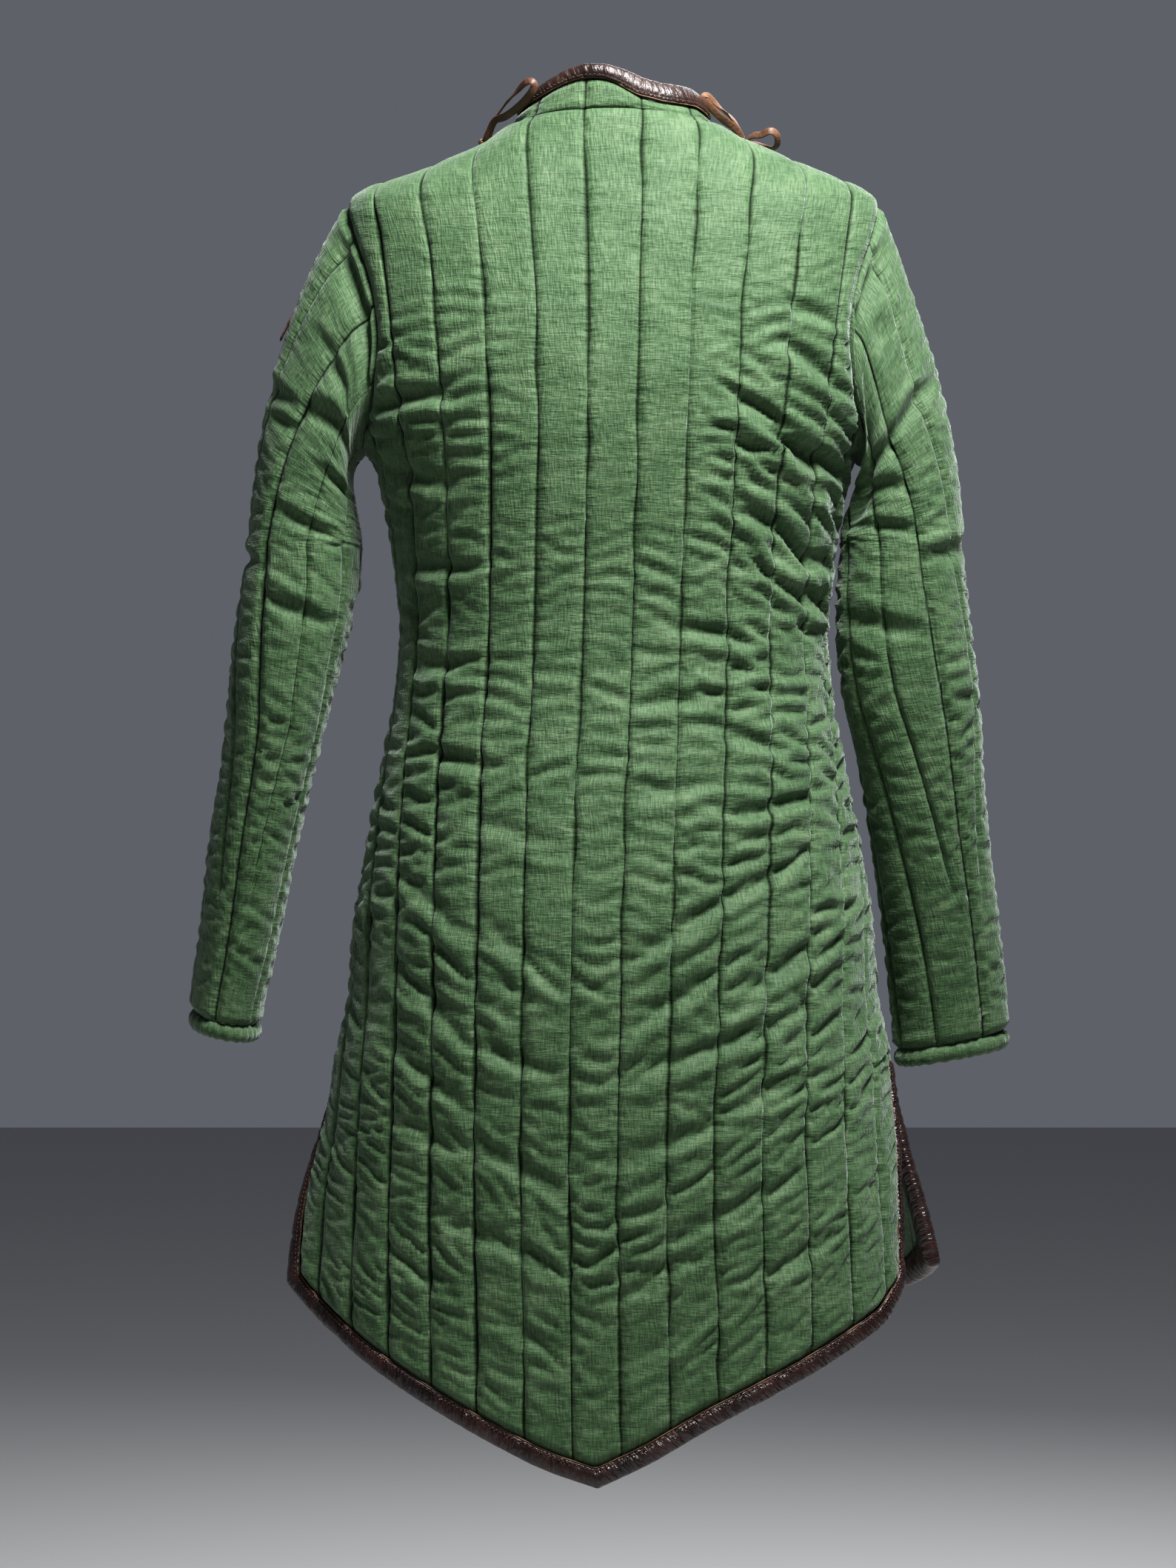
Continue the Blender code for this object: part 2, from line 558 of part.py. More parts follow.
def sleeve(name, side):
    rows = np.concatenate([[0.0, 0.025, 0.06], np.linspace(0.10, 0.955, 19), [0.985, 1.0]])
    lines = np.arange(-7.5, 8.0, 1.0)
    cols = np.sort(np.concatenate([lines, lines + 0.22, lines + 0.78]))
    shares, _, _, half, _ = SLEEVES[side]
    ends = np.interp(rows, shares, half) / sleeve_pitch(side, rows)
    reach = ends.max() + 0.3
    cols = cols[np.abs(cols) < reach]
    q = np.clip(cols[None, :], -ends[:, None], ends[:, None])
    w = np.repeat(rows[:, None], cols.size, axis=1)
    length = 0.66
    edge = np.minimum(np.minimum((ends[:, None] - np.abs(q)) * SLEEVE_PITCH, w * length), (1 - w) * length)
    rise = crown(q) * smooth(edge / 0.009)
    outer = sleeve_point(side, q, w) - sleeve_normal(side, q, w) * (SLEEVE_SINK * (1 - rise))[..., None]
    cols_in = np.concatenate([np.arange(-7.5, 8.0, 1.0)])
    cols_in = cols_in[np.abs(cols_in) < reach + 0.5]
    rows_in = rows[[0, 1, 2, 4, 6, 8, 10, 12, 14, 16, 18, 21, 23]]
    ends_in = np.interp(rows_in, shares, half) / sleeve_pitch(side, rows_in)
    qi = np.clip(cols_in[None, :], -ends_in[:, None], ends_in[:, None])
    wi = np.repeat(rows_in[:, None], cols_in.size, axis=1)
    inner = sleeve_point(side, qi, wi) - sleeve_normal(side, qi, wi) * SLEEVE_WALL
    for skin in (outer, inner):              # both edges meet in the back seam
        skin[:, 0] = skin[:, -1] = (skin[:, 0] + skin[:, -1]) / 2
    points, faces = make_wall(outer, inner, tube=True)
    return add_mesh(name, points, faces, LINEN, 0.9)


def cuff(name, side):
    """Rolled edge of the sleeve's end: an oval bead round the last ring."""
    ring, axis = arm_ring(side, ARM[side][-1, 0])
    ring = ring[::6]
    centre = ring.mean(0)
    inward = centre - ring
    inward /= np.linalg.norm(inward, axis=1, keepdims=True)
    angle = np.radians(np.arange(0, 360, 60) + 30)
    bead = (ring[:, None, :] + inward[:, None, :] * (0.0048 + 0.0056 * np.cos(angle))[None, :, None]
            + axis * (0.0070 + 0.0003 + 0.0066 * np.sin(angle))[None, :, None])
    n, m = bead.shape[:2]
    faces = []
    for i in range(n):
        for j in range(m):
            a, b = i * m + j, i * m + (j + 1) % m
            c, d = (i + 1) % n * m + j, (i + 1) % n * m + (j + 1) % m
            faces += [(a, b, d), (a, d, c)]
    return add_mesh(name, bead.reshape(-1, 3), faces, LINEN, 0.9)


# ----------------------------------------------------------------- the bindings
# binding section: share of the width from the outer edge in, depth under the crown
BAND = np.array([(0.0, 0.0048), (0.12, 0.0008), (0.50, -0.0006), (0.90, 0.0008), (1.0, 0.0042),
                 (1.0, 0.0084), (0.50, 0.0102), (0.12, 0.0090)])


def band(name, point, normal, edge, width, colour=LEATHER):
    """Folded leather over an edge: BAND swept along the flat chain `edge`, which lies on
    the surface given by point(s, z) and normal(s, z); the cloth is on its left."""
    inner = inset(edge, width)
    n, m = len(edge), len(BAND)
    rings = np.zeros((n, m, 3))
    for j, (f, deep) in enumerate(BAND):
        flat = edge + (inner - edge) * f
        rings[:, j] = point(flat[:, 0], flat[:, 1]) - normal(flat[:, 0], flat[:, 1]) * deep
    faces = []
    for i in range(n - 1):
        for j in range(m):
            a, b = i * m + j, i * m + (j + 1) % m
            faces += [(a, b, b + m), (a, b + m, a + m)]
    for i in (0, n - 1):
        for j in range(1, m - 1):
            faces.append((i * m, i * m + j, i * m + j + 1))
    return add_mesh(name, rings.reshape(-1, 3), faces, colour, 0.45)


def on_torso(face):
    return (lambda s, z: torso_point(face, s / pitch_at(z), z),
            lambda s, z: torso_normal(face, s / pitch_at(z), z))


def back_binding():
    right = skirt_edge("back", 1)[0]
    left = skirt_edge("back", -1)[0][::-1][:-1] * (-1, 1)
    band("back_binding", *on_torso("back"), np.concatenate([left, right]), BIND)


def front_binding(name, side):
    """Round a front: down the opening, along the hem and up to the slit top."""
    chain, _ = skirt_edge("front")
    hem = chain[chain[:, 0] > 0.006]
    foot = np.array([0.0005, hem_height("front", 0.0)])
    top = top_height("front", np.array([0.2]))[0] - 0.0009
    fall = resample([(0.0005, top), foot], 0.045)
    edge = np.concatenate([fall, hem])
    if side < 0:
        edge = edge[::-1] * (-1, 1)
    band(name, *on_torso("front"), edge, BIND)


# ------------------------------------------------------------------ the collar
# columns: cloth length round the neck from centre back (+ to the right), collar height
COLLAR_TOP = np.array([
    (-0.260, 0.024), (-0.110, 0.0250), (-0.065, 0.0300), (-0.025, 0.0340), (0.004, 0.0338),
    (0.030, 0.0240), (0.060, 0.0215), (0.110, 0.0200), (0.260, 0.024)])
COLLAR_WALL = 0.0080


def neck_line():
    """Outer edge of the neck seam from the left side of the opening round the back to
    the right side: points, level outward directions, cloth length, stitch lines."""
    qs = side_arc("front", -0.003) / pitch_at(-0.003)
    qb = side_arc("back", -0.003) / pitch_at(-0.003)
    marks = [("front", -np.linspace(0.016, qs, 60)), ("back", np.linspace(-qb, qb, 121)[1:-1]),
             ("front", np.linspace(qs, 0.016, 60))]
    spots = []
    for face, q in marks:
        z = top_height(face, q)
        spots.append(torso_point(face, q, z) - torso_normal(face, q, z) * SINK)
    spots = np.concatenate(spots)
    for _ in range(8):
        spots[1:-1] = 0.5 * spots[1:-1] + 0.25 * (spots[2:] + spots[:-2])
    step = np.linalg.norm(np.diff(spots, axis=0), axis=1)
    s = np.concatenate(([0.0], np.cumsum(step)))
    s -= s[np.argmin(spots[:, 1])]
    along = np.gradient(spots, axis=0)
    out = np.stack([along[:, 1], -along[:, 0], 0 * s], axis=1)
    out /= np.linalg.norm(out, axis=1, keepdims=True)
    for _ in range(12):
        out[1:-1] = 0.5 * out[1:-1] + 0.25 * (out[2:] + out[:-2])
    out /= np.linalg.norm(out, axis=1, keepdims=True)
    stitched = []
    for face in ("back", "front"):
        for q in (-1.5, -0.5, 0.5, 1.5):
            p = torso_point(face, q, top_height(face, np.array([q]))[0])
            if face == "back" or abs(q) > 1:
                stitched.append(s[np.argmin(((spots - p) ** 2).sum(1))])
    return spots, out, s, np.sort(np.array(stitched))


NECK = neck_line()


def collar_point(s, h):
    """Crown surface of the standing collar."""
    spots, out, length, _ = NECK
    base = np.stack([np.interp(s, length, spots[:, k]) for k in range(3)], axis=-1)
    face = np.stack([np.interp(s, length, out[:, k]) for k in range(3)], axis=-1)
    lean = SINK - 0.10 * h
    return base + face * np.asarray(lean)[..., None] + np.asarray(h)[..., None] * np.array([0.0, 0.0, 1.0])


def collar_normal(s, h):
    _, out, length, _ = NECK
    face = np.stack([np.interp(s, length, out[:, k]) for k in range(3)], axis=-1)
    face[..., 2] = 0.10
    return face / np.linalg.norm(face, axis=-1, keepdims=True)


def collar():
    _, _, length, lines = NECK
    first, last = length[0] + BIND + 0.0006, length[-1] - BIND - 0.0006
    stops = np.concatenate([[first], lines[(lines > first + 0.012) & (lines < last - 0.012)], [last]])
    cols = np.concatenate([a + (b - a) * np.array([0, 0.22, 0.5, 0.78]) for a, b in zip(stops[:-1], stops[1:])] + [[last]])
    share = np.interp(cols, stops, np.arange(stops.size))
    rows = np.array([0.0, 0.25, 0.6, 1.0])
    foot = 0.0018
    top = np.interp(cols, *COLLAR_TOP.T) - COLLAR_BIND * 1.06 - 0.0012
    h = foot + (top - foot) * rows[:, None]
    s = np.repeat(cols[None, :], rows.size, axis=0)
    edge = np.minimum(np.minimum(h - foot, top - h), np.minimum(s - first, last - s))
    rise = np.clip(crown(share - 0.5), 0, 1)[None, :] * smooth(edge / 0.006) * 0.8
    outer = collar_point(s, h) - collar_normal(s, h) * (SINK * (1 - rise))[..., None]
    keep = np.arange(0, cols.size, 2)
    keep = keep if keep[-1] == cols.size - 1 else np.append(keep, cols.size - 1)
    inner = (collar_point(s, h) - collar_normal(s, h) * (COLLAR_WALL + 0.001))[[0, -1]][:, keep]
    points, faces = make_wall(outer, inner)
    return add_mesh("collar", points, faces, LINEN, 0.9)


def collar_binding():
    """Leather up one front edge of the collar, along its top and down the other."""
    length = NECK[2]
    a, b = length[0], length[-1]
    top = resample(np.stack([np.linspace(a, b, 80), np.interp(np.linspace(a, b, 80), *COLLAR_TOP.T)], axis=1), 0.0165)
    edge = np.concatenate([[(b, 0.0024)], top[::-1], [(a, 0.0024)]])
    band("collar_binding", collar_point, collar_normal, edge, COLLAR_BIND)


# ------------------------------------------------------------------- the thongs
def ribbon(path, flat, width, thick):
    """Thong of flat section along a path; `flat` is the way its face looks."""
    path, flat = np.asarray(path, float), np.asarray(flat, float)
    along = np.gradient(path, axis=0)
    along /= np.linalg.norm(along, axis=1, keepdims=True)
    flat = flat - along * (flat * along).sum(1, keepdims=True)
    flat /= np.linalg.norm(flat, axis=1, keepdims=True)
    across = np.cross(along, flat)
    shape = np.array([(-0.5, -0.5), (0.5, -0.5), (0.5, 0.5), (-0.5, 0.5)])
    rings = (path[:, None] + across[:, None] * shape[None, :, :1] * width
             + flat[:, None] * shape[None, :, 1:] * thick)
    n, m = rings.shape[:2]
    faces = []
    for i in range(n - 1):
        for j in range(m):
            a, b = i * m + j, i * m + (j + 1) % m
            faces.append((a, b, b + m, a + m))
    faces += [tuple(range(m)), tuple((n - 1) * m + j for j in range(m))]
    return rings.reshape(-1, 3), faces


def lump(centre, size, segments=6, rings=4):
    """Oval bead, the tightened knot."""
    up = np.radians(np.linspace(0, 180, rings + 1))
    turn = np.radians(np.arange(segments) * 360 / segments)
    pts, faces = [], []
    for a in up[1:-1]:
        for t in turn:
            pts.append((np.sin(a) * np.cos(t), np.sin(a) * np.sin(t), np.cos(a)))
    pts += [(0, 0, 1), (0, 0, -1)]
    n = len(pts)
    for r in range(rings - 2):
        for j in range(segments):
            a, b = r * segments + j, r * segments + (j + 1) % segments
            faces.append((a, b, b + segments, a + segments))
    for j in range(segments):
        faces.append((n - 2, (j + 1) % segments, j))
        faces.append((n - 1, (rings - 2) * segments + j, (rings - 2) * segments + (j + 1) % segments))
    return np.array(pts) * size + centre, faces


def spline(points, count):
    """Smooth run through a few points."""
    p = np.asarray(points, float)
    p = np.concatenate([[2 * p[0] - p[1]], p, [2 * p[-1] - p[-2]]])
    u = np.linspace(0, len(points) - 1.0001, count)
    i, t = u.astype(int), (u - u.astype(int))[:, None]
    a, b, c, d = p[i], p[i + 1], p[i + 2], p[i + 3]
    return 0.5 * (2 * b + (c - a) * t + (2 * a - 5 * b + 4 * c - d) * t ** 2 + (3 * b - a - 3 * c + d) * t ** 3)


def joined(name, meshes, colour):
    """Exact union of overlapping pieces into one body."""
    whole = None
    for k, (pts, faces) in enumerate(meshes):
        obj = add_mesh(name if k == 0 else name + "_add", pts, faces, colour, 0.6)
        if whole is None:
            whole = obj
            continue
        join = whole.modifiers.new("join", "BOOLEAN")
        join.operation, join.solver, join.object = "UNION", "EXACT", obj
        join.use_self = True
        graph = bpy.context.evaluated_depsgraph_get()
        mesh = bpy.data.meshes.new_from_object(whole.evaluated_get(graph))
        whole.modifiers.clear()
        whole.data = mesh
        bpy.data.objects.remove(obj, do_unlink=True)
    ready = bmesh.new()
    ready.from_mesh(whole.data)
    bmesh.ops.remove_doubles(ready, verts=ready.verts, dist=0.00001)
    bmesh.ops.dissolve_limit(ready, angle_limit=np.radians(3.0), verts=ready.verts, edges=ready.edges)
    bmesh.ops.triangulate(ready, faces=ready.faces)
    ready.to_mesh(whole.data)
    ready.free()
    return whole


def bow(name, at, right, down, out, loops, tails, straps, width=0.0050, thick=0.0017, knot=0.0046):
    """Thong tied in a bow.  Every run is a list of (right, down, out) millimetres from the
    knot's middle, in the frame given by the three directions."""
    frame = np.array([right, down, out], float)
    place = lambda run: np.asarray(run, float) * 0.001 @ frame + at
    meshes = [lump(np.array(at), np.array([knot, knot * 0.8, knot]))]
    for run, count in [(r, 7) for r in loops] + [(r, 4) for r in tails] + [(r, 3) for r in straps]:
        path = spline(place(run), count)
        centre = path.mean(0)
        if count == 7:                       # a loop stands on edge: its face looks out of it
            flat = path - centre
            flat[0], flat[-1] = flat[1], flat[-2]
        else:
            flat = np.repeat(frame[2][None], count, axis=0)
        meshes.append(ribbon(path, flat, width, thick))
    return joined(name, meshes, THONG)


# -------------------------------------------------------------- clear the file
for old in list(bpy.data.objects):
    bpy.data.objects.remove(old, do_unlink=True)
home = bpy.data.collections.new("gambeson")
bpy.context.scene.collection.children.link(home)

panel("back_panel", "back", 0)
panel("front_right_panel", "front", 1)
panel("front_left_panel", "front", -1)
sleeve("sleeve_right", 1)
sleeve("sleeve_left", -1)
cuff("cuff_right", 1)
cuff("cuff_left", -1)
back_binding()
front_binding("front_right_binding", 1)
front_binding("front_left_binding", -1)
collar()
collar_binding()

# front ties: a thong from each front edge, knotted over the opening
for k, height in enumerate(np.linspace(-0.110, -0.650, 5)):
    spot = torso_point("front", 0.0, height)
    face = torso_normal("front", 0.0, height)
    across = np.cross(face, (0.0, 0.0, 1.0))
    across /= -np.linalg.norm(across)
    fall = np.cross(across, face)
    fall *= -np.sign(fall[2])
    swing = (-1) ** k
    bow(f"front_tie_{k + 1}", spot + face * 0.0068, across, fall, face,
        loops=[[(0, -1, 1.0), (8, -3, 3.8), (17, 2, 4.2), (19, 9 + swing, 3.4), (12, 10, 2.8), (1, 2.5, 1.2)],
               [(0, -1, 1.0), (-8, -3, 3.8), (-16, 3, 4.2), (-18, 10 - swing, 3.4), (-11, 11, 2.8), (-1, 2.5, 1.2)]],
        tails=[[(1, 1, 0.5), (5, 12, 0), (6 + swing, 28, -1.4), (5, 44, -1.6)],
               [(-1, 1, 0.5), (-6, 14, 0), (-8 + swing, 26, -1.4), (-9, 38, -1.6)]],
        straps=[[(-9.5, 0.5, -5.2), (0, 0.5, -2.6), (9.5, 0.5, -5.2)]])


def chest_spot(x, z, lift):
    """Point `lift` outside the front crown at place x and height z."""
    q = np.linspace(0.05, side_arc("front", z) / pitch_at(z), 400)
    across = torso_point("front", q, np.full(400, z))[:, 0]
    k = np.interp(abs(x), across, q) * np.sign(x)
    return torso_point("front", k, z) + torso_normal("front", k, z) * lift


def shoulder_bow(name, knot, loops, tails):
    """Bow on the front of a shoulder: loops given in millimetres of the world frame, tails
    as (x, z) places that lie down the chest."""
    knot = chest_spot(*knot, 0.0034)
    meshes = [lump(knot, np.array([0.0046, 0.0042, 0.0038]))]
    for k, run in enumerate(loops):
        path = np.asarray(run) * 0.001
        near = np.array([0.0007 * k, 0.0012 + 0.0005 * k, 0.0024 - 0.0004 * k])
        path = spline(np.concatenate([[knot + near], path, [knot - near * (-1, 1, 1)]]), 10)
        flat = path - path.mean(0)
        flat[:, 2] *= 2.0
        meshes.append(ribbon(path, flat, 0.0046, 0.0016))
    for run in tails:
        path = np.array([chest_spot(x * 0.001, z * 0.001, 0.0011) for x, z in run])
        path = spline(np.concatenate([[knot], path]), 6)
        meshes.append(ribbon(path, np.repeat([[0.0, 0.6, 0.8]], 6, axis=0), 0.0050, 0.0016))
    return joined(name, meshes, THONG)


shoulder_bow(
    "shoulder_thong_left", (-0.0985, -0.0172),
    loops=[[(-90, 9, 1.5), (-81, -8, 11), (-77.5, -24, 19), (-75.0, -34, 18), (-77, -34, 10), (-81, -19, 4), (-91, 3, 0.5)]],
    tails=[[(-100, -26), (-99, -48), (-97, -66)], [(-106, -30), (-111, -46), (-113, -58)]])
shoulder_bow(
    "shoulder_thong_right", (0.1003, -0.0150),
    loops=[[(94, 18, 1.5), (84, 2, 10.5), (77.5, -9, 14.5), (79.5, -15, 11), (86, -6, 3), (93, 11, -5.5)],
           [(110, 19, -7), (119, 9, -4.5), (127, 8, -8), (130, 15, -15), (122, 27, -19), (111, 31, -16)]],
    tails=[[(101, -26), (99, -46), (98, -62)], [(107, -28), (112, -44), (115, -55)]])

# thong end tied to the front of the left upper arm
run = np.array([(1.75, 0.105), (1.85, 0.130), (1.98, 0.155), (2.1, 0.180)])
path = np.array([sleeve_point(-1, q, w) + sleeve_normal(-1, q, w) * lift
                 for (q, w), lift in zip(run, (0.0006, 0.0006, 0.0012, 0.0036))])
faced = np.array([sleeve_normal(-1, q, w) for q, w in run])
add_mesh("arm_thong_left", *ribbon(path, faced, 0.0050, 0.0017), THONG, 0.6)
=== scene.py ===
"""Finish of the quilted linen gambeson: camera, light, padded linen, leather edges, thongs.

Frame as in the CAD: metres, +Z up, +X to the wearer's right, +Y out of the chest, origin at
the neck base.  A place on the body of the coat is (face, q, z): q counts quilting channels
along the cloth from the centre line, z is the height.  A place on a sleeve is (side, q, w):
w runs from 0 at the armhole to 1 at the cuff.  Stitch lines are q = 0.5, 1.5, 2.5 ...
"""

import bmesh
import bpy
import numpy as np

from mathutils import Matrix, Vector


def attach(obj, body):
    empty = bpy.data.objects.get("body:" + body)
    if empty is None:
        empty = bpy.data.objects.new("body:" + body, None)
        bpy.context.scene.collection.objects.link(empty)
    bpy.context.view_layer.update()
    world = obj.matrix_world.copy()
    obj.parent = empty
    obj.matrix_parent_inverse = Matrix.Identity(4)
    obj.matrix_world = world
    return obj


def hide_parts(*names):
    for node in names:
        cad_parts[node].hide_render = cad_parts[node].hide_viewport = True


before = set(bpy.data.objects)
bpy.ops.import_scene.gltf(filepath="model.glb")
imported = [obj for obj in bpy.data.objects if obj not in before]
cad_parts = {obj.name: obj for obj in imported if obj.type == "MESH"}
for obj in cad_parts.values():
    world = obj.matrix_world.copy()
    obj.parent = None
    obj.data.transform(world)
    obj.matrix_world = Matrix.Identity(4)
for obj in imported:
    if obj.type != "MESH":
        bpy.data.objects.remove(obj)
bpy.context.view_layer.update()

# ---------------------------------------------------------------- camera first
VIEW_DISTANCE = 3.2
PIXEL = 0.00057                          # metres a pixel covers at the coat's middle
PICTURE_WIDTH = 1588.0                   # pixels across the picture
SENSOR = 36.0
eye = bpy.data.objects.new("camera", bpy.data.cameras.new("camera"))
bpy.context.scene.collection.objects.link(eye)
eye.location = (-0.0194, -VIEW_DISTANCE, -0.512)
eye.rotation_euler = (np.pi / 2, 0.0, 0.0)
eye.data.sensor_fit = "HORIZONTAL"
eye.data.sensor_width = SENSOR
eye.data.lens = SENSOR * VIEW_DISTANCE / PIXEL / PICTURE_WIDTH
eye.data.clip_end = 50.0
bpy.context.scene.camera = eye

# ---------------------------------------------------------------- main sizes
PITCH = 0.037           # quilting channel, along the cloth
WALL = 0.009            # padded wall at the crown of a channel
SINK = 0.0045           # how far a stitch line lies under the crown
SLEEVE_PITCH, SLEEVE_WALL, SLEEVE_SINK = 0.033, 0.008, 0.004
SLEEVE_LENGTH = 0.66    # cloth length from the armhole to the cuff
SLEEVE_FIRST, SLEEVE_COUNT = -6.5, 13   # first stitch line and number of sleeve channels
SLEEVE_OUTER = 5.5      # outermost stitch line of a sleeve
LINING = 0.0008         # how far the plain inside lies under the padding
BIND, COLLAR_BIND = 0.014, 0.011        # leather binding, width over the edge
THONG_WIDTH, THONG_THICK, BOW_THICK = 0.005, 0.0017, 0.0016
SLIT_TOP = -0.715       # height where the side slits end
YOKE = -0.1             # height from which the rows follow the shoulders
NECK_X = 0.072          # half width of the neck
POWER = 2.25            # n of the super-ellipse sections
ARMHOLE_Z, ARMHOLE_HALF_Z, ARMHOLE_HALF_Y = -0.16, 0.096, 0.062
SIM = 10                # places across a channel while the cloth settles
PANEL_STEPS, SLEEVE_STEPS = 320, 200    # steps down a panel and a sleeve while it settles
ROUNDS = 70             # rounds of the settling
FURTHEST = 0.0075       # travel from which the settling cloth is held back

# columns: height, half width, back depth, front depth, turn in degrees
TORSO = np.array([
    (0.03, 0.03, 0.052, 0.038, 0.0), (0.005, 0.062, 0.06, 0.046, 0.0),
    (-0.003, 0.0735, 0.062, 0.05, 0.0), (-0.02, 0.119, 0.067, 0.062, 0.0),
    (-0.04, 0.163, 0.073, 0.076, 0.0), (-0.058, 0.198, 0.079, 0.088, 0.0),
    (-0.07, 0.21, 0.083, 0.095, 0.0), (-0.1, 0.215, 0.091, 0.107, 0.0),
    (-0.15, 0.215, 0.103, 0.121, 0.0), (-0.2, 0.212, 0.111, 0.127, -0.1),
    (-0.25, 0.196, 0.114, 0.128, -0.4), (-0.268, 0.183, 0.114, 0.127, -0.6),
    (-0.302, 0.1755, 0.113, 0.124, -1.0), (-0.336, 0.17, 0.111, 0.12, -1.5),
    (-0.388, 0.164, 0.11, 0.115, -2.4), (-0.422, 0.166, 0.112, 0.115, -3.0),
    (-0.456, 0.17, 0.117, 0.117, -3.6), (-0.49, 0.1765, 0.124, 0.121, -4.1),
    (-0.5415, 0.187, 0.134, 0.126, -4.7), (-0.61, 0.1985, 0.145, 0.132, -5.0),
    (-0.678, 0.203, 0.151, 0.137, -5.3), (-0.715, 0.2125, 0.153, 0.141, -5.6),
    (-0.764, 0.2205, 0.154, 0.146, -6.0), (-0.832, 0.233, 0.155, 0.152, -5.9),
    (-0.9, 0.2425, 0.156, 0.157, -5.2), (-1.05, 0.25, 0.158, 0.164, -4.5)])
# columns: height, how much wider the channels fan than PITCH
FAN = np.array([
    (0.03, 1.3), (-0.01, 1.21), (-0.05, 1.16), (-0.075, 1.13), (-0.1, 1.1), (-0.15, 1.055),
    (-0.25, 1.01), (-0.388, 0.99), (-0.49, 1.02), (-0.61, 1.01), (-0.764, 0.98), (-1.05, 0.98)])
# columns: channel q, height of the lower edge: back to the left, back to the right, a front
HEM_BACK = np.array([
    (0.0, -1.0285, -1.0285), (1.1, -1.016, -1.01), (2.25, -0.9965, -0.986),
    (3.35, -0.9765, -0.9665), (4.4, -0.957, -0.949), (5.4, -0.938, -0.931),
    (6.4, -0.919, -0.914), (7.5, -0.89, -0.885), (9.0, -0.845, -0.84)])
HEM_FRONT = np.array([
    (0.0, -0.996), (1.0, -0.984), (3.0, -0.953), (5.0, -0.925), (7.0, -0.903), (8.6, -0.88),
    (10.0, -0.87)])
# columns: height, width the slit stands open, back side and front side
GAPE = np.array([(-0.7, 0.0, 0.0), (-0.722, 0.0, 0.0), (-0.9, 0.056, 0.006)])
# how far the loose corners of the skirt stand out at the hem
FLARE = {("back", -1): 0.031, ("back", 1): -0.01, ("front", 1): 0.0135, ("front", -1): -0.002}

# columns: height, middle out from the body's centre, middle forward, half across, half depth
ARM = {
    1: np.array([
        (-0.33, 0.2222, 0.0, 0.0465, 0.045), (-0.3705, 0.2216, 0.0, 0.051, 0.044),
        (-0.422, 0.2257, 0.003, 0.053, 0.043), (-0.456, 0.2314, 0.007, 0.0519, 0.042),
        (-0.49, 0.2368, 0.012, 0.0482, 0.041), (-0.5586, 0.2457, 0.022, 0.0456, 0.037),
        (-0.627, 0.2559, 0.033, 0.0455, 0.0325), (-0.695, 0.2634, 0.044, 0.0453, 0.03),
        (-0.7105, 0.2648, 0.046, 0.0453, 0.03)]),
    -1: np.array([
        (-0.33, 0.236, 0.0, 0.044, 0.05), (-0.3705, 0.2425, 0.0, 0.0455, 0.051),
        (-0.422, 0.2528, 0.003, 0.0415, 0.0505), (-0.456, 0.2588, 0.007, 0.0393, 0.05),
        (-0.49, 0.265, 0.012, 0.0362, 0.0495), (-0.5586, 0.2793, 0.022, 0.0343, 0.048),
        (-0.627, 0.29, 0.033, 0.0313, 0.0465), (-0.68, 0.301, 0.042, 0.0285, 0.0455),
        (-0.692, 0.303, 0.044, 0.0283, 0.0455)]),
}
# columns: share of the sleeve's length, angle of the back seam round the arm in degrees
SEAM_TURN = {
    1: np.array([
        (0.0, 84), (0.2, 92), (0.4, 79), (0.5, 70), (0.62, 65), (0.8, 61), (1.0, 60)], float),
    -1: np.array([
        (0.0, 84), (0.2, 70), (0.4, 52), (0.5, 60), (0.62, 75), (0.8, 80), (1.0, 80)], float),
}
# how far outward the sleeve leaves the armhole at the top, and its way under the arm
HEAD_OUT = {1: 0.34, -1: 0.56}
UNDER_WAY = {1: np.array([0.26, 0.0, -0.96]), -1: np.array([-0.7, 0.0, -0.72])}
HEAD = 0.4                              # share of the sleeve's length that its head takes
HEAD_TURNS = np.radians(np.arange(0.0, 360.0, 2.0))     # places round the armhole
SIDE_WORD = {1: "right", -1: "left"}
# columns: cloth length round the neck from centre back (+ to the right), collar height
COLLAR_TOP = np.array([
    (-0.26, 0.024), (-0.11, 0.0205), (-0.07, 0.0268), (-0.048, 0.0338), (-0.03, 0.0372),
    (-0.016, 0.0374), (0.0, 0.035), (0.014, 0.0306), (0.03, 0.025), (0.045, 0.0252),
    (0.074, 0.0264), (0.088, 0.0232), (0.11, 0.02), (0.26, 0.024)])


# ------------------------------------------------------------- small helpers
def smooth(x):
    """0 to 1 ramp with level ends: 3x^2 - 2x^3."""
    x = np.clip(x, 0.0, 1.0)
    return x * x * (3.0 - 2.0 * x)


def column(table, k, z, soft=0.008):
    """Column k of a table against its first column, corners rounded over `soft`."""
    order = np.argsort(table[:, 0])
    x, y = table[order, 0], table[order, k]
    z = np.asarray(z, float)
    total = 0.0
    for step in (-1.0, -0.5, 0.5, 1.0):
        total = total + 0.25 * np.interp(z + step * soft, x, y)
    return total


def unit(v):
    """Vectors drawn to length 1."""
    return v / np.maximum(np.linalg.norm(v, axis=-1, keepdims=True), 1e-12)


def run_length(points):
    """Length along a chain of points, 0 at its start."""
    return np.concatenate(([0.0], np.cumsum(np.linalg.norm(np.diff(points, axis=0), axis=1))))


def read(at, s, table):
    """Columns of a table whose rows stand at `s`, read in between at the places `at`."""
    return np.stack([np.interp(at, s, table[:, k]) for k in range(table.shape[1])], axis=-1)


def eased(chain, times):
    """Chain whose inner points are drawn halfway to the mean of their neighbours, many times."""
    for _ in range(times):
        chain[1:-1] = 0.5 * chain[1:-1] + 0.25 * (chain[2:] + chain[:-2])
    return chain


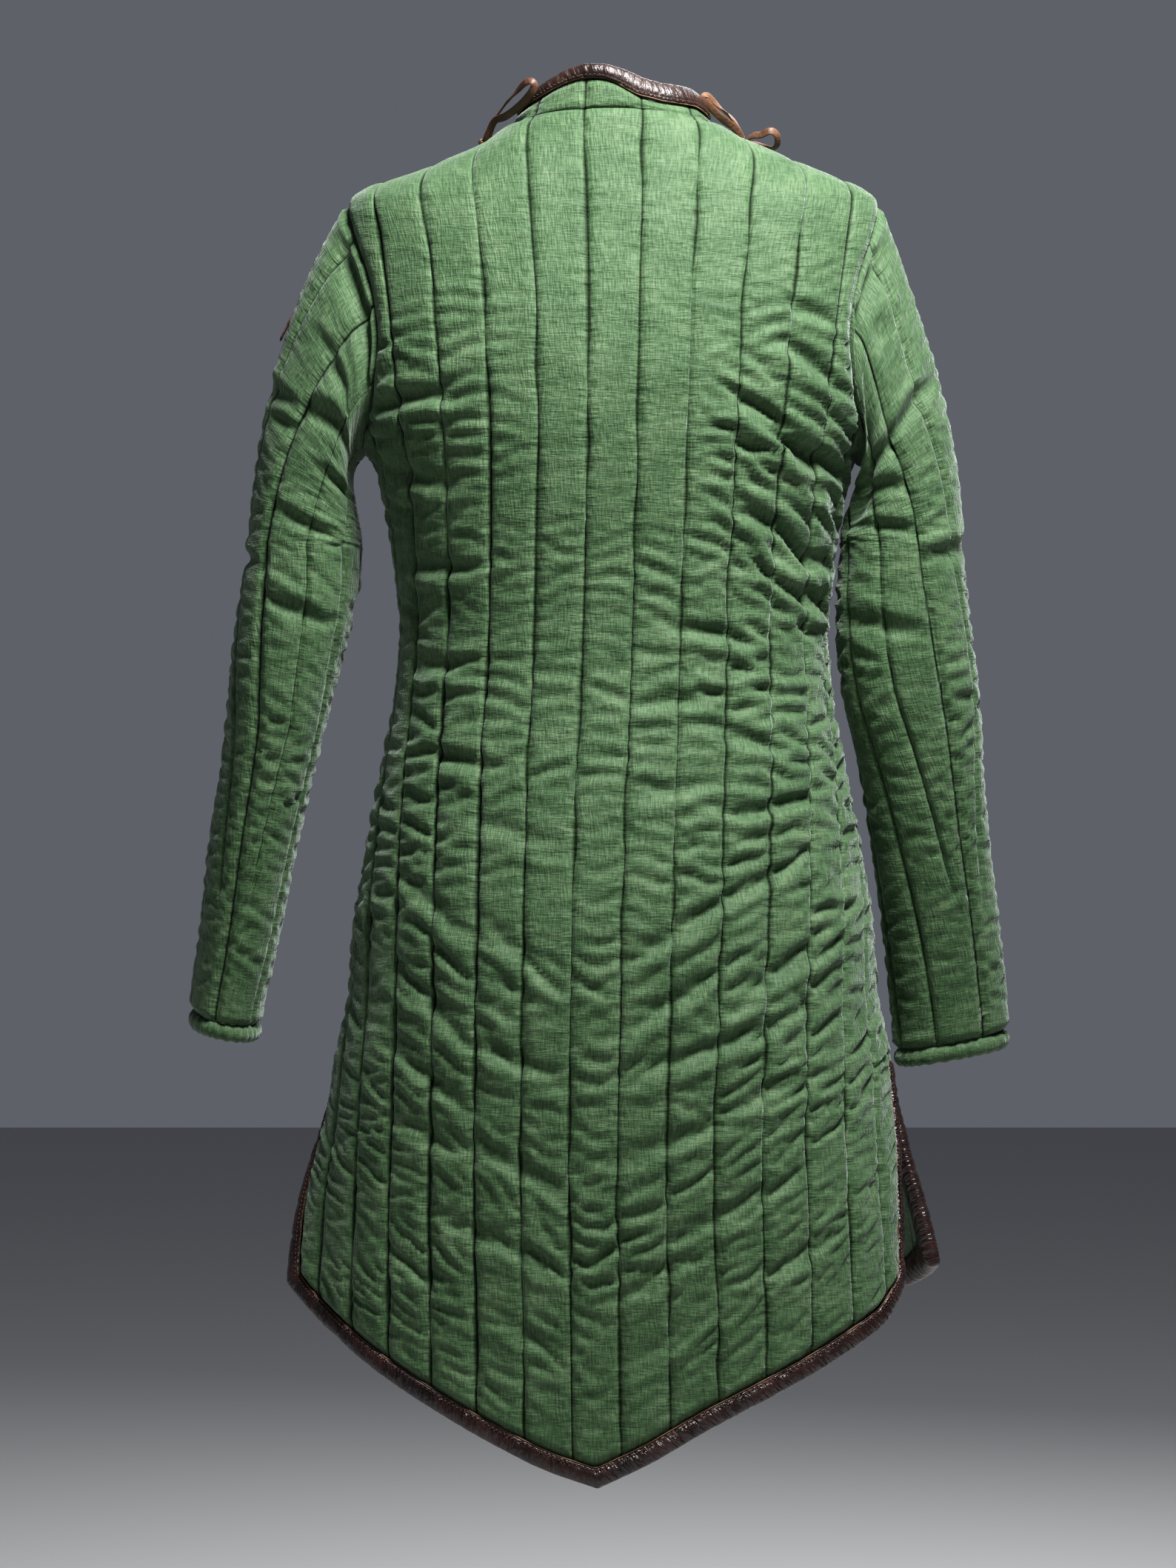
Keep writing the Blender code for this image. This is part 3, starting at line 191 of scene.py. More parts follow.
def between(table, i, j):
    """Table value at a fractional row i and column j: the four entries round it, weighted
    (1 - u)(1 - v), u(1 - v), (1 - u)v and uv."""
    i0, j0 = i.astype(int), j.astype(int)
    u, v = i - i0, j - j0
    if table.ndim > 2:
        u, v = u[..., None], v[..., None]
    return ((1 - u) * (1 - v) * table[i0, j0] + u * (1 - v) * table[i0 + 1, j0]
            + (1 - u) * v * table[i0, j0 + 1] + u * v * table[i0 + 1, j0 + 1])


def wander(seed, shape, cells):
    """Smooth random field of a shape (rows, cols), about -1 to 1: a random grid of
    `cells` (rows, cols) read with smoothed weights, v = sum of corner values * weights."""
    knots = np.random.default_rng(seed).uniform(-1.0, 1.0, (cells[0] + 2, cells[1] + 2))
    i, j = np.linspace(0, cells[0], shape[0]), np.linspace(0, cells[1], shape[1])
    i0, j0 = i.astype(int), j.astype(int)
    u, v = smooth(i - i0)[:, None], smooth(j - j0)[None, :]
    a, b = knots[i0][:, j0], knots[i0][:, j0 + 1]
    c, d = knots[i0 + 1][:, j0], knots[i0 + 1][:, j0 + 1]
    return (a * (1 - v) + b * v) * (1 - u) + (c * (1 - v) + d * v) * u


# largest folds laid one by one, columns: channel and height of one end, channel and height of
# the other end, half width and depth in millimetres; valleys with a softer ridge under them
BACK_FOLDS = np.array([
    (3.5, -0.151, 4.3, -0.166, 7, 2.6), (3.4, -0.179, 4.6, -0.212, 8, 4.2),
    (2.5, -0.223, 3.4, -0.241, 8, 3.6), (3.3, -0.244, 4.6, -0.284, 9, 5.2),
    (4.0, -0.26, 5.2, -0.276, 8, 4.6), (2.8, -0.305, 3.9, -0.328, 8, 3.8),
    (3.2, -0.325, 3.9, -0.35, 7, 3.0), (3.8, -0.333, 4.7, -0.35, 8, 4.2),
    (4.4, -0.341, 5.6, -0.343, 8, 4.4), (4.0, -0.368, 5.6, -0.377, 8, 4.0),
    (1.4, -0.395, 2.9, -0.402, 7, 2.6), (0.6, -0.452, 2.2, -0.447, 7, 2.2),
    (2.2, -0.47, 3.8, -0.486, 7, 2.6), (-4.9, -0.226, -3.1, -0.216, 8, 3.2),
    (-4.9, -0.275, -3.4, -0.288, 8, 3.0), (-4.7, -0.345, -3.0, -0.35, 8, 3.0),
    (-4.4, -0.42, -2.8, -0.424, 7, 2.6), (-2.6, -0.702, -0.6, -0.728, 8, 2.8),
    (0.5, -0.728, 3.6, -0.69, 8, 3.2), (-3.3, -0.83, -0.6, -0.868, 8, 2.6),
    (0.5, -0.79, 3.0, -0.752, 8, 3.0), (1.4, -0.85, 4.2, -0.8, 8, 2.8),
    (-4.4, -0.76, -2.2, -0.79, 8, 2.6), (2.6, -0.745, 5.0, -0.728, 8, 2.8),
    (-4.2, -0.582, -2.4, -0.628, 8, 2.4), (-2.6, -0.606, -0.6, -0.658, 8, 2.2),
    (-4.7, -0.642, -2.8, -0.69, 9, 2.8), (-4.6, -0.702, -2.6, -0.752, 8, 2.4),
    (-2.5, -0.772, -0.6, -0.815, 8, 2.4), (-4.7, -0.85, -3.1, -0.884, 8, 2.2),
    (-2.1, -0.902, -0.7, -0.93, 8, 1.8), (4.5, -0.56, 2.5, -0.598, 8, 2.6),
    (2.7, -0.592, 0.6, -0.642, 8, 2.4), (4.8, -0.625, 2.7, -0.672, 9, 3.0),
    (2.4, -0.65, 0.6, -0.694, 8, 2.6), (3.4, -0.874, 5.2, -0.842, 8, 2.6),
    (0.6, -0.886, 2.3, -0.85, 8, 2.4), (0.7, -0.936, 2.0, -0.908, 8, 1.8),
    (-3.9, -0.486, -2.2, -0.5, 8, 2.4), (-2.6, -0.536, -0.7, -0.56, 8, 2.0),
    (0.7, -0.52, 2.5, -0.508, 8, 2.2), (2.8, -0.532, 4.4, -0.52, 8, 2.4)])
FRONT_FOLDS = np.array([
    (-4.8, -0.24, -2.6, -0.262, 8, 3.4), (-4.9, -0.3, -3.0, -0.318, 8, 3.2),
    (-4.6, -0.392, -2.8, -0.384, 8, 2.8), (2.8, -0.25, 4.9, -0.236, 8, 3.4),
    (3.0, -0.33, 4.8, -0.318, 8, 3.0), (2.6, -0.402, 4.4, -0.412, 7, 2.6),
    (0.8, -0.69, 3.0, -0.66, 8, 2.6), (-3.2, -0.72, -0.9, -0.752, 8, 2.6),
    (1.4, -0.8, 4.0, -0.762, 8, 2.6)])
# the same on a sleeve, with the share w of its length for the height, the ridge above
ARM_FOLDS = {
    1: np.array([
        (4.25, 0.05, 3.9, 0.105, 8, 3.6), (4.6, 0.215, 3.0, 0.2, 9, 4.6),
        (-4.6, 0.235, -3.2, 0.19, 10, 6.5), (-3.4, 0.25, -4.5, 0.312, 8, 4.0),
        (-3.2, 0.345, -4.5, 0.385, 8, 3.8), (4.5, 0.42, 2.8, 0.398, 8, 3.0),
        (-4.4, 0.505, -2.6, 0.48, 8, 3.2), (1.5, 0.455, -1.4, 0.47, 9, 3.4),
        (-4.1, 0.06, -2.9, 0.33, 13, 10.0)]),
    -1: np.array([
        (4.5, 0.213, 2.9, 0.228, 8, 3.2), (-4.6, 0.213, -3.0, 0.12, 9, 6.5),
        (3.8, 0.25, 4.6, 0.24, 7, 3.0), (4.2, 0.12, 4.6, 0.105, 8, 3.0),
        (-4.6, 0.118, -3.9, 0.105, 8, 3.2), (-3.6, 0.262, -2.4, 0.222, 8, 4.4),
        (-4.4, 0.352, -3.0, 0.376, 8, 3.6), (4.4, 0.43, 2.6, 0.418, 8, 3.0),
        (-4.5, 0.47, -2.8, 0.49, 8, 3.2), (1.6, 0.45, -1.5, 0.462, 9, 3.4)])}


def troughs(table, across, along, pitch, length):
    """Depth of the folds in a table at places given in channels and height (times
    `length`, which is below 0 where the height is a share of a sleeve): for each, d is
    the distance to its line and t the place along it, and the depth is
    D * sqrt(sin(pi t)) * (exp(-(d/w)^2) - 0.45 exp(-((d - 1.7 w)/w)^2))."""
    total = np.zeros(np.shape(across))
    for q0, z0, q1, z1, wide, deep in table:
        a, b = np.array([q0 * pitch, z0 * length]), np.array([q1 * pitch, z1 * length])
        run = b - a
        u, v = across * pitch - a[0], along * length - a[1]
        t = np.clip((u * run[0] + v * run[1]) / run.dot(run), 0.0, 1.0)
        off = np.array([-run[1], run[0]]) / np.hypot(*run)
        off *= -np.sign(off[1]) * np.sign(length)
        side = u * off[0] + v * off[1]
        d = np.hypot(u - t * run[0], v - t * run[1]) * np.sign(side + 1e-12)
        w = wide * 0.001
        shape = np.exp(-(d / w) ** 2) - 0.45 * np.exp(-((d - 1.7 * w) / w) ** 2)
        total += deep * 0.001 * np.sqrt(np.sin(np.pi * np.clip(t, 0.04, 0.96))) * shape
    return total


# ------------------------------------------------------- the torso's surface
LEVEL_STEP, ARC_STEP = 0.0025, 0.002    # steps of height and of cloth length in the tables
LEVELS = np.arange(-1.06, 0.0301, LEVEL_STEP)
ARC = np.arange(0.0, 0.3601, ARC_STEP)


def section_tables(face):
    """x, y of every level super-ellipse |x/a|^n + |y/b|^n = 1 at even steps of cloth
    length, and its quarter length."""
    depth = column(TORSO, 2 if face == "back" else 3, LEVELS)
    half = column(TORSO, 1, LEVELS)
    angle = np.linspace(0.0, np.pi / 2, 240)
    unit_x, unit_y = np.sin(angle) ** (2 / POWER), np.cos(angle) ** (2 / POWER)
    xs, ys = np.zeros((LEVELS.size, ARC.size)), np.zeros((LEVELS.size, ARC.size))
    quarter = np.zeros(LEVELS.size)
    for i in range(LEVELS.size):
        x, y = half[i] * unit_x, depth[i] * unit_y
        s = np.concatenate(([0.0], np.cumsum(np.hypot(np.diff(x), np.diff(y)))))
        quarter[i] = s[-1]
        xs[i] = np.interp(ARC, s, x)
        ys[i] = np.interp(ARC, s, y) - np.maximum(ARC - s[-1], 0.0)
    return xs, ys, quarter


TABLES = {face: section_tables(face) for face in ("back", "front")}


def lookup(table, z, s):
    """Value of a (level, arc) table at height z and cloth length s."""
    return between(table, np.clip((z - LEVELS[0]) / LEVEL_STEP, 0, LEVELS.size - 1.001),
                   np.clip(s / ARC_STEP, 0, ARC.size - 1.001))


def pitch_at(z):
    """Width of a channel at height z."""
    return PITCH * column(FAN, 1, z)


def side_arc(face, z):
    """Cloth length from the centre line to the side seam or shoulder ridge."""
    return np.interp(z, LEVELS, TABLES[face][2])


FINE_Z = np.arange(-1.06, 0.0301, 0.0005)


def edge_table(face):
    """Cloth length from the centre line to the panel's edge at every fine height: side
    seam, armhole (where y = -h, h^2/H^2 + r^2 = 1) or slit."""
    r = np.clip((FINE_Z - ARMHOLE_Z) / ARMHOLE_HALF_Z, -1.0, 1.0)
    h = ARMHOLE_HALF_Y * np.sqrt(1.0 - r * r) * (1.0 - 0.25 * r)
    out = side_arc(face, FINE_Z)
    rows = lookup(TABLES[face][1], FINE_Z[:, None], ARC[None, :])
    for k in np.flatnonzero(h > 0):
        out[k] = np.interp(-h[k], -rows[k], ARC)
    gap = np.interp(-FINE_Z, -GAPE[:, 0], GAPE[:, 1 if face == "back" else 2])
    return np.where(FINE_Z < SLIT_TOP, out - gap, out)


EDGES = {face: edge_table(face) for face in ("back", "front")}


def panel_arc(face, z):
    """Cloth length from the centre line to the panel's edge at height z."""
    return np.interp(z, FINE_Z, EDGES[face])


def torso_point(face, q, z):
    """Crown surface of the quilted cloth at channel q and height z: the super-ellipse
    section, its loose corners flared by FLARE, turned by the table's angle about the
    upright axis, and the shoulder let down by `drop` halfway along."""
    q, z = np.broadcast_arrays(np.asarray(q, float), np.asarray(z, float))
    side = np.where(q < 0, -1.0, 1.0)
    s = np.abs(q) * pitch_at(z)
    xs, ys, _ = TABLES[face]
    x, y = lookup(xs, z, s), lookup(ys, z, s)
    reach = side_arc(face, z)
    loose = smooth((s - reach + 0.11) / 0.11) * smooth((SLIT_TOP - 0.03 - z) / 0.17)
    x = (x + np.where(side > 0, FLARE[(face, 1)], FLARE[(face, -1)]) * loose) * side
    y = -y if face == "back" else y
    turn = np.radians(column(TORSO, 4, z, 0.02))
    halfway = smooth((np.abs(x) - 0.066) / 0.045) * (1.0 - smooth((np.abs(x) - 0.15) / 0.05))
    drop = np.where(x < 0, 0.0085, 0.0045) * halfway * smooth((z + 0.095) / 0.075)
    return np.stack([x * np.cos(turn) - y * np.sin(turn),
                     x * np.sin(turn) + y * np.cos(turn), z - drop], axis=-1)


def torso_normal(face, q, z):
    """Outward unit normal: cross product of the two steps along the surface."""
    e = 0.0035
    dq = torso_point(face, q + e / PITCH, z) - torso_point(face, q - e / PITCH, z)
    dz = torso_point(face, q, z + e) - torso_point(face, q, z - e)
    n = np.cross(dq, dz)
    return unit(-n if face == "front" else n)


def neck_height(face, x):
    """Height of the neck seam at place x, r = |x| / NECK_X: level behind, a curve in front."""
    r = np.clip(np.abs(x) / NECK_X, 0.0, 1.0)
    return -0.001 - 0.002 * r ** 2.5 if face == "back" else -0.06 + 0.057 * r ** 2.6


RIDGE_Z = np.linspace(-0.003, -0.064, 120)


def top_height(face, q):
    """Upper edge of a panel: neck seam, then the shoulder seam along the ridge."""
    q = np.abs(np.asarray(q, float))
    ridge_q = side_arc(face, RIDGE_Z) / pitch_at(RIDGE_Z)
    shoulder = np.interp(q, ridge_q, RIDGE_Z)
    z = np.full(q.shape, -0.003)
    for _ in range(30):
        z = 0.5 * z + 0.5 * neck_height(face, torso_point(face, q, z)[..., 0])
    return np.where(q < ridge_q[0], z, shoulder)


TOP_Q = np.linspace(0.0, 9.6, 800)
TOPS = {face: top_height(face, TOP_Q) for face in ("back", "front")}


def hem_height(face, q, side=1):
    """Height of the lower edge at channel q."""
    if face == "back":
        return np.interp(np.abs(q), HEM_BACK[:, 0], HEM_BACK[:, 2 if side > 0 else 1])
    return np.interp(np.abs(q), *HEM_FRONT.T)


# ------------------------------------------------------------ edges laid flat
EDGE_STEP = 0.0165                       # step between the corners of a bound edge


def inset(path, width):
    """Chain of points `width` to the left of a flat chain, corners mitred."""
    path = np.asarray(path, float)
    step = unit(np.diff(path, axis=0))
    left = np.stack([-step[:, 1], step[:, 0]], axis=1)
    before = np.concatenate([left[:1], left])
    after = np.concatenate([left, left[-1:]])
    mitre = before + after
    mitre /= (mitre * before).sum(1, keepdims=True)
    return path + mitre * width


def resample(path, gap):
    """Even steps of about `gap` along a chain."""
    path = np.asarray(path, float)
    s = run_length(path)
    return read(np.linspace(0, s[-1], max(1, int(round(s[-1] / gap))) + 1), s, path)


def skirt_edge(face, side=1):
    """Outer edge of a panel from the centre of the hem to the corner and up to the slit
    top, as flat (cloth length, height) points, and the number of the corner point."""
    zs = np.linspace(-0.8, SLIT_TOP - 0.01, 6)
    slit = np.stack([panel_arc(face, zs) - 0.0003, zs], axis=1)
    q = np.linspace(0.0, 9.4, 400)
    z = hem_height(face, q, side)
    s = q * pitch_at(z)
    limit = panel_arc(face, z) - 0.0003
    k = np.flatnonzero(s > limit)[0]
    corner = np.array([[limit[k], z[k]]])
    hem = resample(np.concatenate([np.stack([s, z], axis=1)[:k], corner]), EDGE_STEP)
    slit = resample(np.concatenate([corner, slit]), 0.02)
    return np.concatenate([hem, slit[1:]]), len(hem) - 1


def cloth_limits(face, side=1):
    """Where the cloth stops under its binding: lower edge z(q) and slit edge s(z)."""
    chain, k = skirt_edge(face, side)
    line = inset(chain, BIND + 0.0004)
    q = line[:, 0] / pitch_at(line[:, 1])
    return q[:k + 1], line[:k + 1, 1], line[k:, 1], line[k:, 0]


LIMITS = {(face, side): cloth_limits(face, side)
          for face in ("back", "front") for side in (-1, 1)}


def lower_edge(face, q):
    """Height where the cloth stops under the leather of the hem."""
    left, right = (np.interp(way * q, *LIMITS[face, way][:2]) for way in (-1, 1))
    return np.where(q < 0, left, right)


def height_at(face, q, t):
    """Height of row t: 0 at the hem, 1 at the slit top, 2 at the yoke, 3 at the top edge,
    with z = low + (high - low) * share in between."""
    low, top = lower_edge(face, q), np.interp(np.abs(q), TOP_Q, TOPS[face])
    return np.where(t < 1, low + (SLIT_TOP - low) * t, np.where(
        t < 2, SLIT_TOP + (YOKE - SLIT_TOP) * (t - 1), YOKE + (top - YOKE) * (t - 2)))


def row_ends(face, t, way):
    """Channel number where row t meets the panel's edge on one side (way = -1 or 1)."""
    q = np.linspace(0.0, 9.6, 1200)[None, :] * way
    z = height_at(face, q, t[:, None])
    beside = np.interp(z, LIMITS[face, way][2], LIMITS[face, way][3])
    limit = np.where(z < SLIT_TOP - 0.001, beside, panel_arc(face, z) - 0.0002) / pitch_at(z)
    over = np.abs(q) - limit
    k = np.argmax(over >= 0, axis=1)
    r = np.arange(t.size)
    d0, d1 = over[r, k - 1], over[r, k]
    return q[0, k - 1] + (q[0, k] - q[0, k - 1]) * (-d0 / (d1 - d0))


# ----------------------------------------------------------- the sleeves' surface
def armhole_ring(side):
    """Edge of the armhole on the torso: points, normals, way into the sleeve."""
    turn = HEAD_TURNS
    z = ARMHOLE_Z + ARMHOLE_HALF_Z * np.cos(turn) * 0.99999
    spots, normals = np.zeros((turn.size, 3)), np.zeros((turn.size, 3))
    for face, pick in (("back", turn < np.pi), ("front", turn >= np.pi)):
        q = panel_arc(face, z[pick]) / pitch_at(z[pick]) * side
        spots[pick] = torso_point(face, q, z[pick])
        normals[pick] = torso_normal(face, q, z[pick])
    for _ in range(6):
        normals = 0.5 * normals + 0.25 * (np.roll(normals, 1, 0) + np.roll(normals, -1, 0))
    normals = unit(normals)                 # smoothed, so the sleeve starts without a kink
    away = unit(np.cross(normals, np.roll(spots, -1, 0) - np.roll(spots, 1, 0)))
    away *= np.sign(np.einsum("ij,ij->i", away, spots.mean(0) - spots))[:, None]
    return spots, normals, away


def arm_ring(side, z):
    """Oval of the sleeve where its middle is at height z: c + a cos(t) u + b sin(t) v."""
    table = ARM[side]

    def centre(h):
        """Middle of the sleeve at height h."""
        return np.array([side * column(table, 1, h, 0.02), column(table, 2, h, 0.02), h])
    axis = unit(centre(z - 0.01) - centre(z + 0.01))
    u = np.array([side, 0.0, 0.0])
    u = unit(u - axis * u.dot(axis))
    v = np.cross(axis, u)
    v *= np.sign(-v[1])
    across, deep = column(table, 3, z, 0.02), column(table, 4, z, 0.02)
    c, s = np.cos(HEAD_TURNS), np.sin(HEAD_TURNS)
    cx, sx = np.sign(c) * np.abs(c) ** 0.92, np.sign(s) * np.abs(s) ** 0.92
    return centre(z) + np.outer(cx, u) * across + np.outer(sx, v) * deep, axis


STEPS = np.arange(-0.3, 0.3001, ARC_STEP)
SHARES = np.linspace(0.0, 1.0, 121)


def sleeve_tables(side):
    """Rings of the sleeve at even steps of cloth length from the line opposite the seam:
    a Hermite curve from the armhole to the first arm oval, then the ovals."""
    spots, normals, away = armhole_ring(side)
    start = spots + away * 0.0007
    top, foot = ARM[side][0, 0], ARM[side][-1, 0]
    ring, axis = arm_ring(side, top)
    reach = np.linalg.norm(ring - start, axis=1, keepdims=True)
    under = smooth((1.0 - np.cos(HEAD_TURNS)) / 2 * 1.5 - 0.5)[:, None]
    lead = np.array([side * HEAD_OUT[side], 0.0, -0.89]) * (1 - under) + UNDER_WAY[side] * under
    out, half = np.zeros((SHARES.size, STEPS.size, 3)), np.zeros(SHARES.size)
    turns = np.degrees(np.concatenate(
        [HEAD_TURNS - 2 * np.pi, HEAD_TURNS, HEAD_TURNS + 2 * np.pi, [4 * np.pi]]))
    for i, w in enumerate(SHARES):
        if w <= HEAD:
            t = w / HEAD
            h = (2 * t ** 3 - 3 * t ** 2 + 1, t ** 3 - 2 * t ** 2 + t,
                 -2 * t ** 3 + 3 * t ** 2, t ** 3 - t ** 2)
            loop = start * h[0] + reach * lead * h[1] + ring * h[2] + reach * axis * h[3]
        else:
            loop = arm_ring(side, top + (foot - top) * (w - HEAD) / (1.0 - HEAD))[0]
        seam = np.interp(w, *SEAM_TURN[side].T)
        closed = np.concatenate([loop] * 3 + [loop[:1]])
        s = run_length(closed)
        s_seam, s_next = np.interp(seam, turns, s), np.interp(seam + 360.0, turns, s)
        half[i] = (s_next - s_seam) / 2
        at = (s_seam + s_next) / 2 + STEPS
        out[i] = read(at, s, closed)
        if i == 0:
            first = unit(read(at, s, np.concatenate([normals] * 3 + [normals[:1]])))
    return out, half, first


def tilted(side, points, share):
    """Lower end of a sleeve square to its slanting run: z + slope * (x - mean x) * share."""
    slope = {1: 0.13, -1: -0.12}[side]
    points[..., 2] += slope * (points[..., 0] - points[..., 0].mean(-1, keepdims=True)) * share
    return points


SLEEVES = {side: sleeve_tables(side) for side in (1, -1)}
for side in SLEEVES:
    tilted(side, SLEEVES[side][0], smooth((SHARES - 0.84) / 0.16)[:, None])


def sleeve_pitch(side, w):
    """Width of a sleeve's channel: wider in the head, which has the same channels."""
    half = SLEEVES[side][1]
    grown = np.interp(w, SHARES, half) / np.interp(HEAD, SHARES, half)
    return SLEEVE_PITCH * np.where(np.asarray(w) < HEAD, np.maximum(grown, 1.0), 1.0)


def sleeve_ends(side, w):
    """Channel number of the back seam."""
    return np.interp(w, SHARES, SLEEVES[side][1]) / sleeve_pitch(side, w)


def sleeve_point(side, q, w):
    """Crown surface of a sleeve at channel q and share w of its length."""
    q, w = np.broadcast_arrays(np.asarray(q, float), np.asarray(w, float))
    i = np.clip(w * (SHARES.size - 1), 0, SHARES.size - 1.0001)
    j = np.clip((q * sleeve_pitch(side, w) - STEPS[0]) / ARC_STEP, 0, STEPS.size - 1.0001)
    return between(SLEEVES[side][0], i, j)


def sleeve_normal(side, q, w):
    """Outward unit normal; at the armhole it leans to the torso's own."""
    q, w = np.broadcast_arrays(np.asarray(q, float), np.asarray(w, float))
    dq = sleeve_point(side, q + 0.12, w) - sleeve_point(side, q - 0.12, w)
    low, high = np.minimum(w + 0.01, 1.0), np.maximum(w - 0.01, 0.0)
    n = unit(np.cross(dq, sleeve_point(side, q, low) - sleeve_point(side, q, high)) * side)
    first = read(q * sleeve_pitch(side, 0.0), STEPS, SLEEVES[side][2])
    k = smooth(w / 0.24)[..., None]
    return unit(first * (1 - k) + n * k)


# ------------------------------------------------------------------ materials
def node_tools(tree):
    """Two helpers for a node tree: add(kind, inputs, out, settings) makes a node and
    returns its output `out`; fill(node, inputs) sets inputs by name or number, and links
    those whose value is a socket."""
    def fill(node, inputs):
        """Sets or links the inputs of a node."""
        for key, value in inputs.items():
            if isinstance(value, bpy.types.NodeSocket):
                tree.links.new(value, node.inputs[key])
            else:
                node.inputs[key].default_value = value

    def add(kind, inputs=(), out=0, **settings):
        """Makes a node and returns one of its outputs."""
        node = tree.nodes.new("ShaderNode" + kind)
        for key, value in settings.items():
            setattr(node, key, value)
        fill(node, dict(inputs))
        return node.outputs[out]
    return add, fill


def stuff(name):
    """New material, its adder of nodes, and a filler of its shader's inputs."""
    mat = bpy.data.materials.new(name)
    mat.use_nodes = True
    add, fill = node_tools(mat.node_tree)
    return mat, add, lambda inputs: fill(mat.node_tree.nodes["Principled BSDF"], inputs)


def ramp(add, fac, stops):
    """Colour ramp through the stops (place, colour)."""
    colour = add("ValToRGB", {"Fac": fac})
    marks = colour.node.color_ramp.elements
    marks.remove(marks[1])
    for k, (at, shade) in enumerate(stops):
        mark = marks[0] if k == 0 else marks.new(at)
        mark.position, mark.color = at, (*shade, 1.0)
    return colour


def noise(add, where, scale, detail, stretch=None):
    """Noise on the coordinates `where`, multiplied by `stretch` first."""
    if stretch:
        where = add("Mapping", {"Vector": where, "Scale": stretch})
    return add("TexNoise", {"Vector": where, "Scale": scale, "Detail": detail})


def remap(add, value, low, high, to_low, to_high):
    """A value led from low..high to to_low..to_high and held at the ends."""
    return add("MapRange", {"Value": value, "From Min": low, "From Max": high,
                            "To Min": to_low, "To Max": to_high})


def linen_material(name, dark, mid, light):
    """Green linen on the cloth's own coordinates (across, along, share of a channel):
    threads = 1.8 warp + weft, colour = ramp(0.4 threads + 0.5 wear - 0.11) * pinch.
    `pinch` is painted shade of the stitch-line grooves: it darkens the colour there and takes
    their sheen and shine; one bump puckers the cloth, most of all near a stitch line, and one
    raises the threads."""
    mat, add, finish = stuff(name)

    def sum_up(a, b, c):
        """a * b + c"""
        return add("Math", {0: a, 1: b, 2: c}, operation="MULTIPLY_ADD")

    def times(a, b):
        """a * b"""
        return add("Math", {0: a, 1: b}, operation="MULTIPLY")
    where = add("Attribute", out="Vector", attribute_name="cloth")
    weft = noise(add, where, 130.0, 2.0, (1.0, 6.5, 0.0))
    warp = noise(add, where, 130.0, 2.0, (5.5, 0.8, 0.0))
    wear = noise(add, where, 30.0, 4.0, (1.0, 1.0, 0.0))
    threads = sum_up(warp, 1.8, weft)
    colour = ramp(add, sum_up(threads, 0.4, sum_up(wear, 0.5, -0.11)),
                  [(0.52, dark), (0.7, mid), (0.88, light)])
    share = add("SeparateXYZ", {0: where}, "Z")
    # painted shade: colour, sheen and shine fall to 0.17 of their value on a stitch line, as if its
    # groove lay in shade
    pinch = remap(add, share, 0.011, 0.046, 0.17, 1.0)
    pucker = times(noise(add, where, 105.0, 2.0, (0.4, 1.0, 0.0)),
                   remap(add, share, 0.0, 0.35, 1.0, 0.35))
    soft = add("Bump", {"Strength": 0.9, "Distance": 0.004, "Height": pucker})
    finish({"Base Color": add("VectorMath", {0: colour, "Scale": pinch}, operation="SCALE"),
            "Normal": add("Bump", {"Strength": 0.6, "Distance": 0.0009, "Height": threads,
                                   "Normal": soft}),
            "Roughness": 0.7, "Specular IOR Level": times(pinch, 0.5),
            "Sheen Weight": times(pinch, 0.3), "Sheen Roughness": 0.45,
            "Sheen Tint": (0.88, 0.97, 0.92, 1.0)})
    return mat


def leather_material(name, dark, light, rough, grain=0.5, run=0.0, level=0.5):
    """Oiled leather: fine grain as a bump and slow changes of colour and gloss in object
    space; with `run`, crinkles that lie slanting over the length of a strip."""
    mat, add, finish = stuff(name)
    space = add("TexCoord", out="Object")
    slow, fine = noise(add, space, 38.0, 5.0), noise(add, space, 330.0, 5.0)
    bump = {"Strength": grain, "Distance": 0.0012, "Height": fine}
    if run:
        strip = add("Attribute", out="Vector", attribute_name="cloth")
        crinkle = noise(add, strip, 230.0, 3.0, (1.0, 0.24, 0.0))
        bump["Normal"] = add("Bump", {"Strength": 1.0, "Distance": run, "Height": crinkle})
    finish({"Base Color": ramp(add, slow, [(0.32, dark), (0.7, light)]),
            "Normal": add("Bump", bump),
            "Roughness": remap(add, slow, 0.0, 1.0, rough - 0.08, rough + 0.1),
            "Specular IOR Level": level})
    return mat


LINEN = linen_material("green linen", (0.0225, 0.062, 0.0165), (0.046, 0.103, 0.036),
                       (0.09, 0.146, 0.069))
LEATHER = leather_material("brown binding leather", (0.0088, 0.0034, 0.0027),
                           (0.04, 0.0142, 0.0107), 0.32, run=0.0042, level=0.62)
COLLAR_LEATHER = leather_material("brown collar leather", (0.01, 0.005, 0.0042),
                                  (0.042, 0.019, 0.015), 0.4, run=0.002, level=0.65)
RAW = leather_material("raw leather edge", (0.11, 0.055, 0.028), (0.23, 0.13, 0.075),
                       0.7, 0.2)
BROWN_THREAD = leather_material("brown thread", (0.045, 0.022, 0.014), (0.12, 0.07, 0.045),
                                0.65, 0.2)
THONG = leather_material("tan thong leather", (0.08, 0.036, 0.021), (0.195, 0.098, 0.056),
                         0.52)
# dark green thread, its colour pushed darker still as painted shade of the grooves it lies in
THREAD = leather_material("green thread", (0.008, 0.024, 0.007), (0.022, 0.052, 0.016),
                          0.85, 0.2, level=0.05)


# ----------------------------------------------------------------- mesh makers
def grid_quads(rows, cols, first=0, ring=False, loop=False):
    """Quads of a numbered grid; `ring` closes the columns, `loop` closes the rows."""
    r = np.arange(rows if loop else rows - 1)[:, None]
    c = np.arange(cols if ring else cols - 1)[None, :]
    up, on = (r + 1) % rows, (c + 1) % cols
    quads = [r * cols + c, r * cols + on, up * cols + on, up * cols + c]
    return np.stack(np.broadcast_arrays(*quads), axis=-1).reshape(-1, 4) + first


